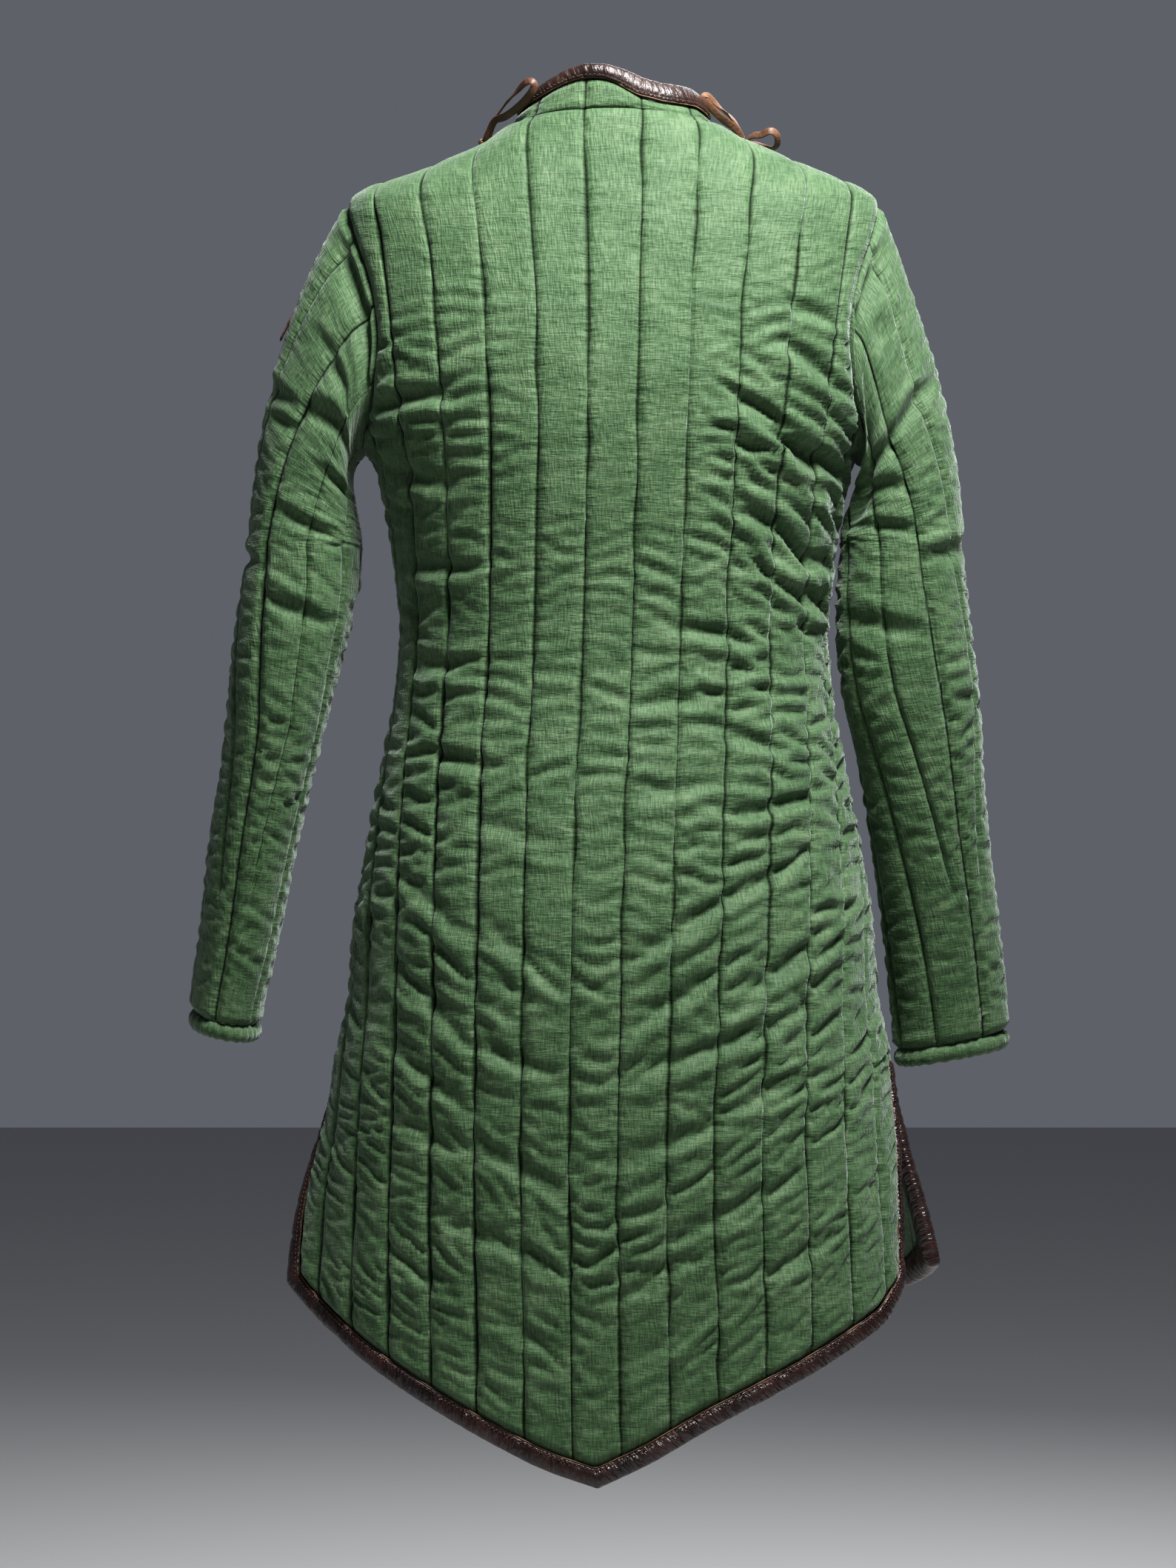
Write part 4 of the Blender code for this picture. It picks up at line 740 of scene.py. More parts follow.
def rim(outer, inner):
    """Triangles between an edge of 2n + 1 numbered points and one of n + 1."""
    o0, o1, o2, i0, i1 = outer[:-2:2], outer[1::2], outer[2::2], inner[:-1], inner[1:]
    return np.concatenate([np.stack(t, 1) for t in ((o0, o1, i0), (o1, i1, i0), (o1, o2, i1))])


def add_piece(name, points, quads, tris, mat, nodes, cloth=None, merge=2e-6):
    """Closed smooth mesh from arrays: repeated points merged, faces outward."""
    name = name.replace(" ", "_")
    mesh = bpy.data.meshes.new(name)
    mesh.vertices.add(len(points))
    mesh.vertices.foreach_set("co", np.ascontiguousarray(points, np.float32).ravel())
    quads = np.asarray(quads, np.int32).reshape(-1, 4)
    tris = np.asarray(tris, np.int32).reshape(-1, 3)
    loops = np.concatenate([quads.ravel(), tris.ravel()])
    mesh.loops.add(loops.size)
    mesh.loops.foreach_set("vertex_index", loops)
    starts = np.concatenate([np.arange(len(quads)) * 4,
                             len(quads) * 4 + np.arange(len(tris)) * 3])
    mesh.polygons.add(starts.size)
    mesh.polygons.foreach_set("loop_start", starts.astype(np.int32))
    mesh.update(calc_edges=True)
    if cloth is not None:
        mesh.attributes.new("cloth", "FLOAT_VECTOR", "POINT").data.foreach_set(
            "vector", np.ascontiguousarray(cloth, np.float32).ravel())
    work = bmesh.new()
    work.from_mesh(mesh)
    if merge:
        bmesh.ops.remove_doubles(work, verts=work.verts, dist=merge)
    bmesh.ops.recalc_face_normals(work, faces=work.faces)
    work.to_mesh(mesh)
    work.free()
    mesh.polygons.foreach_set("use_smooth", np.ones(len(mesh.polygons), bool))
    mesh.materials.append(mat)
    obj = bpy.data.objects.new(name, mesh)
    bpy.context.scene.collection.objects.link(obj)
    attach(obj, "root")
    if nodes:
        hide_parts(*nodes)
    return obj


def add_wall(name, outer, inner, cloth, nodes, tube=False):
    """Padded wall: outer skin, plain inner skin at half its rows and columns, closed rims."""
    rows, cols = outer.shape[:2]
    inner = inner[::2, ::2]
    rows_in, cols_in = inner.shape[:2]
    o = np.arange(rows * cols).reshape(rows, cols)
    n = np.arange(rows_in * cols_in).reshape(rows_in, cols_in) + rows * cols
    quads = np.concatenate([grid_quads(rows, cols),
                            grid_quads(rows_in, cols_in, rows * cols)[:, ::-1]])
    edges = [(o[0], n[0]), (o[-1], n[-1])]
    if not tube:
        edges += [(o[:, 0], n[:, 0]), (o[:, -1], n[:, -1])]
    tris = np.concatenate([rim(a, b) for a, b in edges])
    points = np.concatenate([outer.reshape(-1, 3), inner.reshape(-1, 3)])
    cloth = np.concatenate([cloth.reshape(-1, 3), cloth[::2, ::2].reshape(-1, 3)])
    return add_piece(name, points, quads, tris, LINEN, nodes, cloth)


# where the columns of a channel stand, closer together at the stitch line
SPREAD = np.array([0.0, 0.045, 0.11, 0.2, 0.3, 0.4, 0.5, 0.6, 0.7, 0.8, 0.89, 0.955])


def channel_columns(first, count):
    """Columns from the stitch line `first` over `count` channels."""
    q = (first + np.arange(count)[:, None] + SPREAD[None, :]).ravel()
    return np.append(q, first + count)


def crown(q):
    """Padding across a channel: 0 on a stitch line, 1 in the middle, mostly flat:
    0.62 * (1 - e^10) + 0.38 * (1 - e^3) with e = |2f - 1|, f the share of the channel."""
    e = np.abs(2.0 * np.mod(q + 0.5, 1.0) - 1.0)
    return 0.62 * (1.0 - e ** 10.0) + 0.38 * (1.0 - e ** 3.0)


def on_line(cols):
    """Which columns are stitch lines, q = 0.5, 1.5 ..."""
    return np.abs(np.mod(cols, 1.0) - 0.5) < 1e-6


def aside(q):
    """Share of a channel from the nearest stitch line."""
    return 0.5 - np.abs(np.mod(q + 0.5, 1.0) - 0.5)


def stitched(q, least):
    """Share of a channel from the nearest stitch line, raised to `least` on the line."""
    d = aside(q)
    return d + least * (1.0 - 2.0 * d)


def kept(q, ends):
    """1 where the stitch line nearest to q is sewn, 0 where it would lie within a third of
    a channel of the sleeve's seam."""
    return smooth((ends - np.floor(np.abs(q)) - 0.5 - 0.3) / 0.2)


def cut(q, pitch):
    """Pinch of the stitching: a groove of 0.9 mm * exp(-(d / 1.3 mm)^2) at distance d."""
    return 0.0009 * np.exp(-(aside(q) * pitch / 0.0013) ** 2)


def creases(q, across, along, gap, slant, seed, shape):
    """First creases of the cloth, above 0 on a ridge: 1.9 |sin(pi p)|^0.7 - 1.15 with
    p = (along * cos + across * sin) / gap + 1.5 slow wander + 0.65 fine wander, and
    0.30 sin(2.4 channel + seed) so that they stop and start at the stitch lines."""
    p = (along * np.cos(slant) + across * np.sin(slant)) / gap
    p = p + 1.5 * wander(seed, shape, (16, 6)) + 0.65 * wander(seed + 7, shape, (64, 19))
    p = p + 0.3 * np.sin(np.floor(q + 0.5) * 2.4 + seed)
    return 1.9 * np.abs(np.sin(np.pi * p)) ** 0.7 - 1.15


def pull(x, free, a, b, length, share):
    """One set of separate pairs drawn to their cut length: each pair a, b moves along
    d = b - a by share * (|d| - length) / (free a + free b)."""
    d = x[b] - x[a]
    now = np.sqrt((d * d).sum(-1)) + 1e-12
    give = share * (now - length) / now / np.maximum(free[a] + free[b], 1.0)
    d *= give[..., None]
    x[a] += d * free[a][..., None]
    x[b] -= d * free[b][..., None]


def settle(base, out, pinned, line, excess, slant, start, bend):
    """Settling of a quilted skin.  The cloth between the stitch lines is cut longer
    than its place by the share `excess` along the direction (sin slant, cos slant) of
    (across, along), so a pair set off by (u, v) has the cut length
    |base| * (1 + excess * (u sin + v cos)^2 / (u^2 + v^2)).  Every step draws all pairs to
    that length, lets the padding press the skin back by a share of its travel, a larger
    one on the stitch lines, and keeps pinned places still.  Starts from the creases
    `start`.  Returns how far each place of the grid went."""
    rows, cols = pinned.shape
    pad = np.where(line, 0.1, 0.012)
    x = base + out * (start * ~pinned * np.where(line, 0.6, 1.0))[..., None]
    free = (~pinned).astype(float)
    across = np.linalg.norm(np.gradient(base, axis=1), axis=-1)
    down = np.linalg.norm(np.gradient(base, axis=0), axis=-1)
    sets = []
    for dr, dc, share in ((0, 1, 1.0), (1, 0, 1.0), (1, 1, 0.4), (1, -1, 0.4),
                          (0, 2, bend), (2, 0, bend)):
        gap = max(dr, abs(dc))
        for offset in range(2 * gap):
            top, left = (offset, max(0, -dc)) if dr else (0, offset)
            step_r, step_c = (2 * gap, 1) if dr else (1, 2 * gap)
            stop_r, stop_c = rows - dr, cols - max(0, dc)
            a = slice(top, stop_r, step_r), slice(left, stop_c, step_c)
            b = slice(top + dr, stop_r + dr, step_r), slice(left + dc, stop_c + dc, step_c)
            u, v = dc * across[a], dr * down[a]
            share_of = (u * np.sin(slant[a]) + v * np.cos(slant[a])) ** 2
            share_of /= np.maximum(u * u + v * v, 1e-12)
            length = np.linalg.norm(base[b] - base[a], axis=-1) * (1.0 + excess[a] * share_of)
            sets.append((a, b, length, share))
    for _ in range(ROUNDS):
        for a, b, length, share in sets:
            pull(x, free, a, b, length, share)
        travel = ((x - base) * out).sum(-1)
        back = np.where(travel < 0, pad * 1.6, pad) * travel
        back += 0.4 * np.sign(travel) * np.maximum(np.abs(travel) - FURTHEST, 0.0)
        x -= out * (back * free)[..., None]
        drift = (x - base) - out * ((x - base) * out).sum(-1)[..., None]
        x -= drift * (0.03 * free)[..., None]
    return crisp(x - base, out)


def crisp(gone, out):
    """Narrower valleys and rounder tops: of the travel n along `out` and its mean m over
    11 places each way, v = max(m - n, 0) becomes 1.8 mm * (v / 1.5 mm)^1.4,
    and at most 1.8 v."""
    n = (gone * out).sum(-1)
    mean = n
    for _ in range(2):
        run = np.cumsum(np.concatenate([mean[:1]] * 6 + [mean] + [mean[-1:]] * 5), axis=0)
        mean = ((run[11:] - run[:-11]) / 11.0).T
    v = np.maximum(mean - n, 0.0)
    return gone + out * (v - np.minimum(0.0018 * (v / 0.0015) ** 1.4, 1.8 * v))[..., None]


def finer(field, i, j):
    """Values of a (rows, cols, k) grid at fractional places by cubic weights
    (-t + 2t^2 - t^3, 2 - 5t^2 + 3t^3, t + 4t^2 - 3t^3, t^3 - t^2) / 2 each way."""
    i, j = np.clip(i, 0, field.shape[0] - 1.001), np.clip(j, 0, field.shape[1] - 1.001)
    i0, j0 = i.astype(int), j.astype(int)

    def weights(t):
        """The four weights at share t between two places."""
        return [(-t + 2 * t * t - t ** 3) / 2, (2 - 5 * t * t + 3 * t ** 3) / 2,
                (t + 4 * t * t - 3 * t ** 3) / 2, (t ** 3 - t * t) / 2]
    wi, wj, total = weights(i - i0), weights(j - j0), 0.0
    for a in range(4):
        for b in range(4):
            r = np.clip(i0 + a - 1, 0, field.shape[0] - 1)
            c = np.clip(j0 + b - 1, 0, field.shape[1] - 1)
            total = total + (wi[a] * wj[b])[..., None] * field[r, c]
    return total


# ------------------------------------------------------------------ the panels
ROWS = np.concatenate([np.linspace(0, 1, 101), np.linspace(1, 2, 201)[1:],
                       np.linspace(2, 3, 37)[1:]])
SEAMS = []                               # lines to be stitched: (points, outward directions)


def add_stitches(name, lines, pitch=0.0042, long=0.003, thick=0.00042, lift=0.00015,
                 mat=THREAD):
    """Running stitches along lines: each is a spindle of 10 points, centre c, half length
    h along the line, tips at c -+ h a - 0.4 mm n, two square rings at c -+ 0.56 h a."""
    centres, ways, ups = [], [], []
    for points, out in lines:
        s = run_length(points)
        at = np.arange(pitch * 0.7, s[-1] - pitch * 0.7, pitch)
        centres.append(read(at, s, points))
        ways.append(unit(read(at + 0.001, s, points) - read(at - 0.001, s, points)))
        ups.append(unit(read(at, s, out)))
    c, a, n = np.concatenate(centres), np.concatenate(ways), np.concatenate(ups)
    b, h = np.cross(a, n), long / 2
    c = c + n * lift
    ring = [c + a * h * e + b * x * thick + n * y * thick
            for e in (-0.56, 0.56) for x, y in ((1, 0), (0, 1), (-1, 0), (0, -1))]
    points = np.stack([c - a * h - n * 0.0004] + ring + [c + a * h - n * 0.0004], axis=1)
    one = [(0, 2, 1), (0, 3, 2), (0, 4, 3), (0, 1, 4), (9, 5, 6), (9, 6, 7), (9, 7, 8), (9, 8, 5),
           (1, 2, 6), (1, 6, 5), (2, 3, 7), (2, 7, 6), (3, 4, 8), (3, 8, 7), (4, 1, 5), (4, 5, 8)]
    tris = (np.arange(len(c))[:, None, None] * 10 + np.array(one)[None]).reshape(-1, 3)
    return add_piece(name, points.reshape(-1, 3), [], tris, mat, [], merge=0)


def panel_slack(q, z, seed):
    """How much too long the cloth of a panel is, the way it is too long and the distance
    from crease to crease: level at the waist and under the arms, running down towards the
    middle in the skirt, little of it between the shoulders."""
    far = np.abs(q)
    upper = 0.01 + 0.08 * smooth((far - 1.4) / 2.2) * smooth((-0.1 - z) / 0.12)
    waist = 0.078 * smooth((-0.24 - z) / 0.14) * (
        0.62 + 0.38 * smooth((far - 1.5) / 2.0) + 0.3 * smooth(q / 2.0))
    skirt = 0.086 * smooth((-0.52 - z) / 0.14)
    excess = np.maximum(np.maximum(upper, waist), skirt)
    excess = excess * (1.0 - 0.5 * smooth((-0.88 - z) / 0.1))
    flank = smooth((q - 1.2) / 1.6) * smooth((-0.14 - z) / 0.08)
    flank = flank * (1.0 - smooth((-0.36 - z) / 0.12))
    excess = (excess + 0.075 * flank) * (1.0 + 0.85 * wander(seed, q.shape, (34, 13)))
    slant = np.sign(q) * np.radians(-34.0) * smooth((-0.48 - z) / 0.16) * smooth(far / 0.6)
    slant += np.radians(34.0) * flank + np.radians(10.0) * wander(seed + 1, q.shape, (14, 7))
    gap = 0.02 + 0.015 * smooth((-0.45 - z) / 0.2) + 0.003 * flank
    return np.maximum(excess, 0.0), slant, gap


def panel_cloth(name, face, side, seed):
    """Back (side 0) or a front: grid (row, channel) put on the torso with its padding.
    Returns the piece, and the area, greatest width and height of its flat cut."""
    def laid(cols, rows):
        """Places, distance to the edge, skin, normals, first and last channel of every
        row and rise of the padding, for a grid of columns and rows."""
        middle = (BIND + 0.001) / pitch_at(height_at(face, 0.0, rows))
        first = row_ends(face, rows, -1) if side <= 0 else middle
        last = row_ends(face, rows, 1) if side >= 0 else -middle
        q = np.clip(cols[None, :], first[:, None], last[:, None])
        z = height_at(face, q, rows[:, None])
        edge = np.minimum(last[:, None] - q, q - first[:, None]) * PITCH
        high, low = np.interp(np.abs(q), TOP_Q, TOPS[face]) - z, z - lower_edge(face, q)
        at_neck = 0.62 * (1.0 - smooth((np.abs(q) - 1.7) / 0.3))
        body = np.minimum(smooth(np.minimum(edge, low) / 0.007),
                          np.maximum(smooth(high / 0.006), at_neck))
        edge = np.minimum(np.minimum(edge, high), low)
        sway = np.sin(z * 41.0 + 3.1 * np.round(q) + 1.7 * np.sin(z * 23.0 + q))
        skin = torso_point(face, q + 0.03 * sway * smooth(edge / 0.03), z)
        out = torso_normal(face, q, z)
        fold = troughs(BACK_FOLDS if face == "back" else FRONT_FOLDS, q, z, PITCH, 1.0)
        skin = skin - out * (fold * smooth(edge / 0.012))[..., None]
        rise = (1.0 - (1.0 - crown(q)) * (1.0 - 0.42 * smooth((z + 0.34) / 0.26))) * body
        return q, z, edge, skin, out, first, last, rise
    first_line, count = {0: (-9.5, 19), 1: (-0.5, 10), -1: (-9.5, 10)}[side]
    # settling on an even grid
    cols = first_line + np.arange(count * SIM + 1) / SIM
    rows = np.linspace(0.0, 3.0, PANEL_STEPS + 1)
    rows = np.interp(rows, (0.0, 0.9, 2.7, 3.0), (0.0, 1.0, 2.0, 3.0))
    q, z, edge, skin, out, first, last, rise = laid(cols, rows)
    pinned = edge < 1e-5
    pinned[[0, -1]] = True
    line = on_line(cols)[None, :] & ~pinned
    sunk = skin - out * (SINK * (1.0 - rise))[..., None]
    excess, slant, gap = panel_slack(q, z, seed)
    start = creases(q, q * PITCH, z, gap, slant, seed, q.shape)
    start *= (0.0011 + 0.0007 * smooth((-0.45 - z) / 0.2)) * np.minimum(excess / 0.06, 1.0)
    gone = settle(sunk, out, pinned, line, excess, slant, start * smooth(edge / 0.01), bend=0.45)
    # fine grid
    fine = channel_columns(first_line, count)
    q, z, edge, skin, out, first, last, rise = laid(fine, ROWS)
    shift = finer(gone, np.interp(ROWS, rows, np.arange(rows.size))[:, None] + 0 * q,
                  (fine[None, :] - first_line) * SIM + 0 * q)
    inside = smooth(edge / 0.004)
    shift *= inside[..., None]
    outer = skin - out * (SINK * (1.0 - rise) + cut(q, PITCH) * inside)[..., None] + shift
    inner = skin - out * (WALL + LINING)
    # the share kept on a stitch line; the linen reads it, so it sets how dark the painted groove
    # shade gets along the line
    least = 0.005 * (1.0 + wander(seed + 3, q.shape, (60, 19)))
    cloth = np.stack([q * PITCH, z, stitched(q, least)], axis=-1)
    for k in np.flatnonzero(on_line(fine)):
        on = np.flatnonzero((q[:, k] > first + 0.06) & (q[:, k] < last - 0.06))
        if on.size > 8:
            runs = np.split(on, np.flatnonzero(np.diff(on) > 1) + 1)
            SEAMS.extend((outer[r, k], out[r, k]) for r in runs if r.size > 8)
    node = {0: "back_panel", 1: "front_right_panel", -1: "front_left_panel"}[side]
    made = add_wall(name, outer, inner, cloth, [node])
    width, length = (last - first) * pitch_at(z[:, 0]), np.abs(np.gradient(z.mean(1)))
    return made, (width * length).sum(), width.max(), z.max() - z.min()


# ----------------------------------------------------------------- the sleeves
def sleeve_grid(side, cols, rows):
    """Columns of a sleeve's grid out to its outermost stitch line, and at every place the
    channel, the share of the length, the distance to the nearest edge, the seam's channel."""
    cols = cols[np.abs(cols) <= SLEEVE_OUTER + 1e-6]
    ends = sleeve_ends(side, rows)
    q = np.clip(cols[None, :], -ends[:, None], ends[:, None])
    w = np.repeat(rows[:, None], cols.size, axis=1)
    beside = (ends[:, None] - np.abs(q)) * SLEEVE_PITCH
    edge = np.minimum(np.minimum(beside, w * SLEEVE_LENGTH), (1 - w) * SLEEVE_LENGTH)
    return cols, q, w, edge, ends[:, None]


def arm_skin(side, q, w):
    """Crown surface of a sleeve with its largest folds and the hollow under the arm, and
    its normals; both end 12 mm before the armhole and the cuff."""
    skin, out = sleeve_point(side, q, w), sleeve_normal(side, q, w)
    down, up = w * SLEEVE_LENGTH, (1.0 - w) * SLEEVE_LENGTH
    fold = troughs(ARM_FOLDS[side], q, w, SLEEVE_PITCH, -SLEEVE_LENGTH)
    pit = np.exp(-((down - 0.017) / 0.013) ** 2) * smooth((np.abs(q) - 3.0) / 1.0)
    fold = fold + (0.0095 if side > 0 else 0.0075) * pit
    ends = smooth(down / 0.012) * smooth(up / 0.012)
    return skin - out * (fold * ends)[..., None], out


def sleeve_folds(side, q, w, edge):
    """Settled cloth of a sleeve, read at the places (q, w) of its fine grid."""
    seed = 43 + side
    cols, qs, ws, rim_at, ends = sleeve_grid(
        side, SLEEVE_FIRST + np.arange(SLEEVE_COUNT * SIM + 1) / SIM,
        np.linspace(0.0, 1.0, SLEEVE_STEPS + 1))
    pinned = rim_at < 1e-5
    line = on_line(cols)[None, :] & ~pinned & (ends - np.abs(qs) > 0.4)
    skin, out = arm_skin(side, qs, ws)
    rise = (1.0 - (1.0 - crown(qs)) * kept(qs, ends)) * smooth(rim_at / 0.006)
    sunk = skin - out * (SLEEVE_SINK * (1.0 - rise))[..., None]
    excess = 0.022 + 0.026 * smooth((ws - 0.15) / 0.2)
    excess = excess * (1.0 + 0.8 * wander(seed, qs.shape, (20, 8)))
    excess = np.maximum(excess * (1.0 - 0.5 * smooth((ws - 0.9) / 0.08)), 0.0)
    slant = np.radians(14.0) * wander(seed + 1, qs.shape, (10, 5)) * -side
    start = creases(qs, qs * SLEEVE_PITCH, ws * SLEEVE_LENGTH, 0.028, slant, seed, qs.shape)
    start *= 0.0013 * np.minimum(excess / 0.045, 1.0) * smooth(rim_at / 0.01)
    gone = settle(sunk, out, pinned, line, excess, slant, start, bend=0.5)
    return (finer(gone, w * SLEEVE_STEPS, (q + SLEEVE_OUTER) * SIM)
            * smooth(edge / 0.004)[..., None])


def sleeve_cloth(name, side):
    """Sleeve: grid (share of length, channel) round the arm, closed in its back seam.
    Returns the piece, and the area and greatest width of its flat cut."""
    rows = np.linspace(0.0, 1.0, 221)
    cols, q, w, edge, ends = sleeve_grid(side, channel_columns(SLEEVE_FIRST, SLEEVE_COUNT), rows)
    sewn = kept(q, ends)
    rise = (1.0 - (1.0 - crown(q)) * sewn) * smooth(edge / 0.006)
    skin, out = arm_skin(side, q, w)
    sunk = SLEEVE_SINK * (1 - rise) + cut(q, SLEEVE_PITCH) * sewn * smooth(edge / 0.004)
    outer = skin - out * sunk[..., None]
    outer += sleeve_folds(side, q, w, edge)
    inner = skin - out * (SLEEVE_WALL + LINING)
    for layer in (outer, inner):
        layer[:, 0] = layer[:, -1] = (layer[:, 0] + layer[:, -1]) / 2
    # the share kept on a stitch line; the linen reads it, so it sets how dark the painted groove
    # shade gets along the line
    least = 0.022 + 0.012 * wander(47 + side, q.shape, (50, 12))
    line_share = 0.5 - (0.5 - stitched(q, least)) * sewn
    line_share = np.minimum(line_share, np.abs(ends - np.abs(q)) + 0.004)
    cloth = np.stack([q * SLEEVE_PITCH, w * SLEEVE_LENGTH, line_share], axis=-1)
    for k in np.flatnonzero(on_line(cols)):
        on = np.flatnonzero(np.abs(cols[k]) < ends[:, 0] - 0.42)
        if on.size > 8:
            SEAMS.append((outer[on, k], out[on, k]))
    made = add_wall(name, outer, inner, cloth, [f"sleeve_{SIDE_WORD[side]}"], tube=True)
    width = 2 * ends[:, 0] * sleeve_pitch(side, rows)
    return made, width.mean() * SLEEVE_LENGTH, width.max()


def shut(rings, first=0):
    """Points of a tube and the middles of its two ends, and the fans that close them."""
    n, m = rings.shape[:2]
    k, on, last = np.arange(m), (np.arange(m) + 1) % m, (n - 1) * m
    fans = [np.stack([k, on, 0 * k + n * m], 1),
            np.stack([k + last, on + last, 0 * k + n * m + 1], 1)]
    points = np.concatenate([rings.reshape(-1, 3), rings[[0, -1]].mean(1)])
    return points, np.concatenate(fans) + first


def sweep(name, rings, mat, nodes, closed=False, cloth=None):
    """Tube over rings (n, m, 3): a loop if `closed`, else its ends are shut by fans."""
    points, tris = (rings.reshape(-1, 3), []) if closed else shut(rings)
    if cloth is not None and not closed:
        cloth = shut(cloth)[0]
    quads = grid_quads(*rings.shape[:2], ring=True, loop=closed)
    return add_piece(name, points, quads, tris, mat, nodes, cloth)


def cuff_roll(name, side):
    """Linen rolled over the sleeve's end: oval bead of half sizes 5.4 and 6.6 mm, swelling
    and shrinking by 7 %, round the last ring."""
    ring, axis = arm_ring(side, ARM[side][-1, 0])
    ring = tilted(side, ring, 1.0)
    inward = unit(ring.mean(0) - ring)
    angle = np.radians(np.arange(0, 360, 20))
    n = len(ring)
    pinch = 1.0 + 0.07 * np.sin(np.arange(n) * 0.9 + 1.3 * np.sin(np.arange(n) * 2 * np.pi / n * 5))
    bead = (ring[:, None]
            + inward[:, None] * (0.0058 + 0.0054 * np.cos(angle) * pinch[:, None])[..., None]
            + axis * (0.0073 + 0.0066 * np.sin(angle) * pinch[:, None])[..., None])
    around = np.arange(n)[:, None] * 0.0017 + 0 * angle
    cloth = np.stack([around, 0.0 * around + angle * 0.006, 0.0 * around + 0.5], axis=-1)
    return sweep(name, bead, LINEN, [f"cuff_{SIDE_WORD[side]}"], closed=True, cloth=cloth)


# ---------------------------------------------------------------- the bindings
LEATHER_SEAMS = []
# section of the folded leather: share of the width from the outer edge in, depth
BAND = np.array([
    (0.0, 0.0048), (0.03, 0.0028), (0.09, 0.0014), (0.18, 0.0006), (0.32, -0.0001),
    (0.5, -0.0006), (0.68, -0.0004), (0.8, 0.0001), (0.86, 0.0007), (0.91, 0.0004),
    (0.96, 0.001), (0.99, 0.0022), (1.0, 0.0042), (1.0, 0.0084), (0.75, 0.0098), (0.5, 0.0102),
    (0.25, 0.0098), (0.08, 0.0086), (0.015, 0.0068)])
# the same folded wider over the inside of a front
BAND_FRONT = np.concatenate([BAND[:13], [
    (1.0, 0.0098), (1.4, 0.0101), (1.42, 0.0112), (1.2, 0.0116), (0.8, 0.0117), (0.45, 0.0115),
    (0.15, 0.01), (0.015, 0.0072)]])


def leather_band(name, point, normal, edge, width, seed, nodes, band=BAND, wider=(0, 0),
                 mat=LEATHER, share=np.ones_like):
    """Folded leather: the section `band` swept between the chain `edge` and its inset, cut
    to 1.5 mm steps, with creases d = -sum depth * exp(-((s + slant * f - at) / wide)^2)
    across it.  What lies over the inside (f > 1) doubles its reach along 0.21 m of the
    start and end where `wider` is 1; the strip's width is multiplied by share(s)."""
    inner = inset(edge, width)
    step = sum(np.linalg.norm(np.diff(c, axis=0), axis=1) for c in (edge, inner))
    s = np.concatenate(([0.0], np.cumsum(step / 2)))
    at = np.linspace(0, s[-1], int(s[-1] / 0.0015))
    pair = [read(at, s, c) for c in (edge, inner)]
    f, deep = band[:, 0][None, :], band[:, 1][None, :]
    rng = np.random.default_rng(seed)
    count = int(s[-1] / 0.0048)
    spot = np.sort(rng.uniform(0, s[-1], count))
    slant = rng.normal(0.003, 0.007, count)
    depth = rng.uniform(0.0001, 0.001, count) * rng.uniform(0.3, 1.0, count)
    wide = rng.uniform(0.0009, 0.0021, count)
    run = at[:, None, None] + (f[..., None] - 0.5) * slant
    dent = (depth * np.exp(-((run - spot) / wide) ** 2)).sum(-1) * (deep < 0.003)
    dent -= 0.00035 * np.sin(at / 0.0105 + 2.1 * np.sin(at / 0.031))[:, None] * (deep < 0.003)
    grown = wider[0] * smooth((0.21 - at) / 0.05) + wider[1] * smooth((at - s[-1] + 0.21) / 0.05)
    reach = f + np.maximum(f - 1.0, 0.0) * grown[:, None]
    pair[1] = pair[0] + (pair[1] - pair[0]) * share(pair[0][:, 0])[:, None]
    flat = pair[0][:, None] + (pair[1] - pair[0])[:, None] * reach[..., None]
    rings = point(flat[..., 0], flat[..., 1])
    rings = rings - normal(flat[..., 0], flat[..., 1]) * (deep + dent)[..., None]
    seam = (pair[0] + (pair[1] - pair[0]) * 0.86).T
    LEATHER_SEAMS.append((point(*seam) - normal(*seam) * 0.0004, normal(*seam)))
    raw = (pair[1] + (pair[1] - pair[0]) * 0.012).T
    middle, face = point(*raw), normal(*raw)
    side = unit(np.cross(face, np.gradient(middle, axis=0)))
    turn = np.radians(np.arange(0, 360, 72))[:, None]
    round_it = np.cos(turn) * side[:, None] + np.sin(turn) * face[:, None]
    tube = (middle - face * 0.0022)[:, None] + 0.0005 * round_it
    sweep(name + " raw edge", tube[::2], RAW, [])
    strip = [at[:, None] + f * width * 0.35 + 0 * dent, f * width + 0 * dent, 0 * dent]
    return sweep(name, rings, mat, nodes, cloth=np.stack(strip, axis=-1))


def on_torso(face):
    """Point and normal of the torso by cloth length from the centre line and height."""
    return (lambda s, z: torso_point(face, s / pitch_at(z), z),
            lambda s, z: torso_normal(face, s / pitch_at(z), z))


def back_edge():
    """From the left slit top along the hem to the right one."""
    right = skirt_edge("back", 1)[0]
    left = skirt_edge("back", -1)[0][::-1][:-1] * (-1, 1)
    return np.concatenate([left, right])


def front_edge(side):
    """Down the opening, along the hem and up to the slit top."""
    chain, _ = skirt_edge("front")
    hem = chain[chain[:, 0] > 0.006]
    foot = np.array([0.0005, hem_height("front", 0.0)])
    top = np.interp(0.2, TOP_Q, TOPS["front"]) - 0.0009
    edge = np.concatenate([resample([(0.0005, top), foot], 0.045), hem])
    return edge if side > 0 else edge[::-1] * (-1, 1)


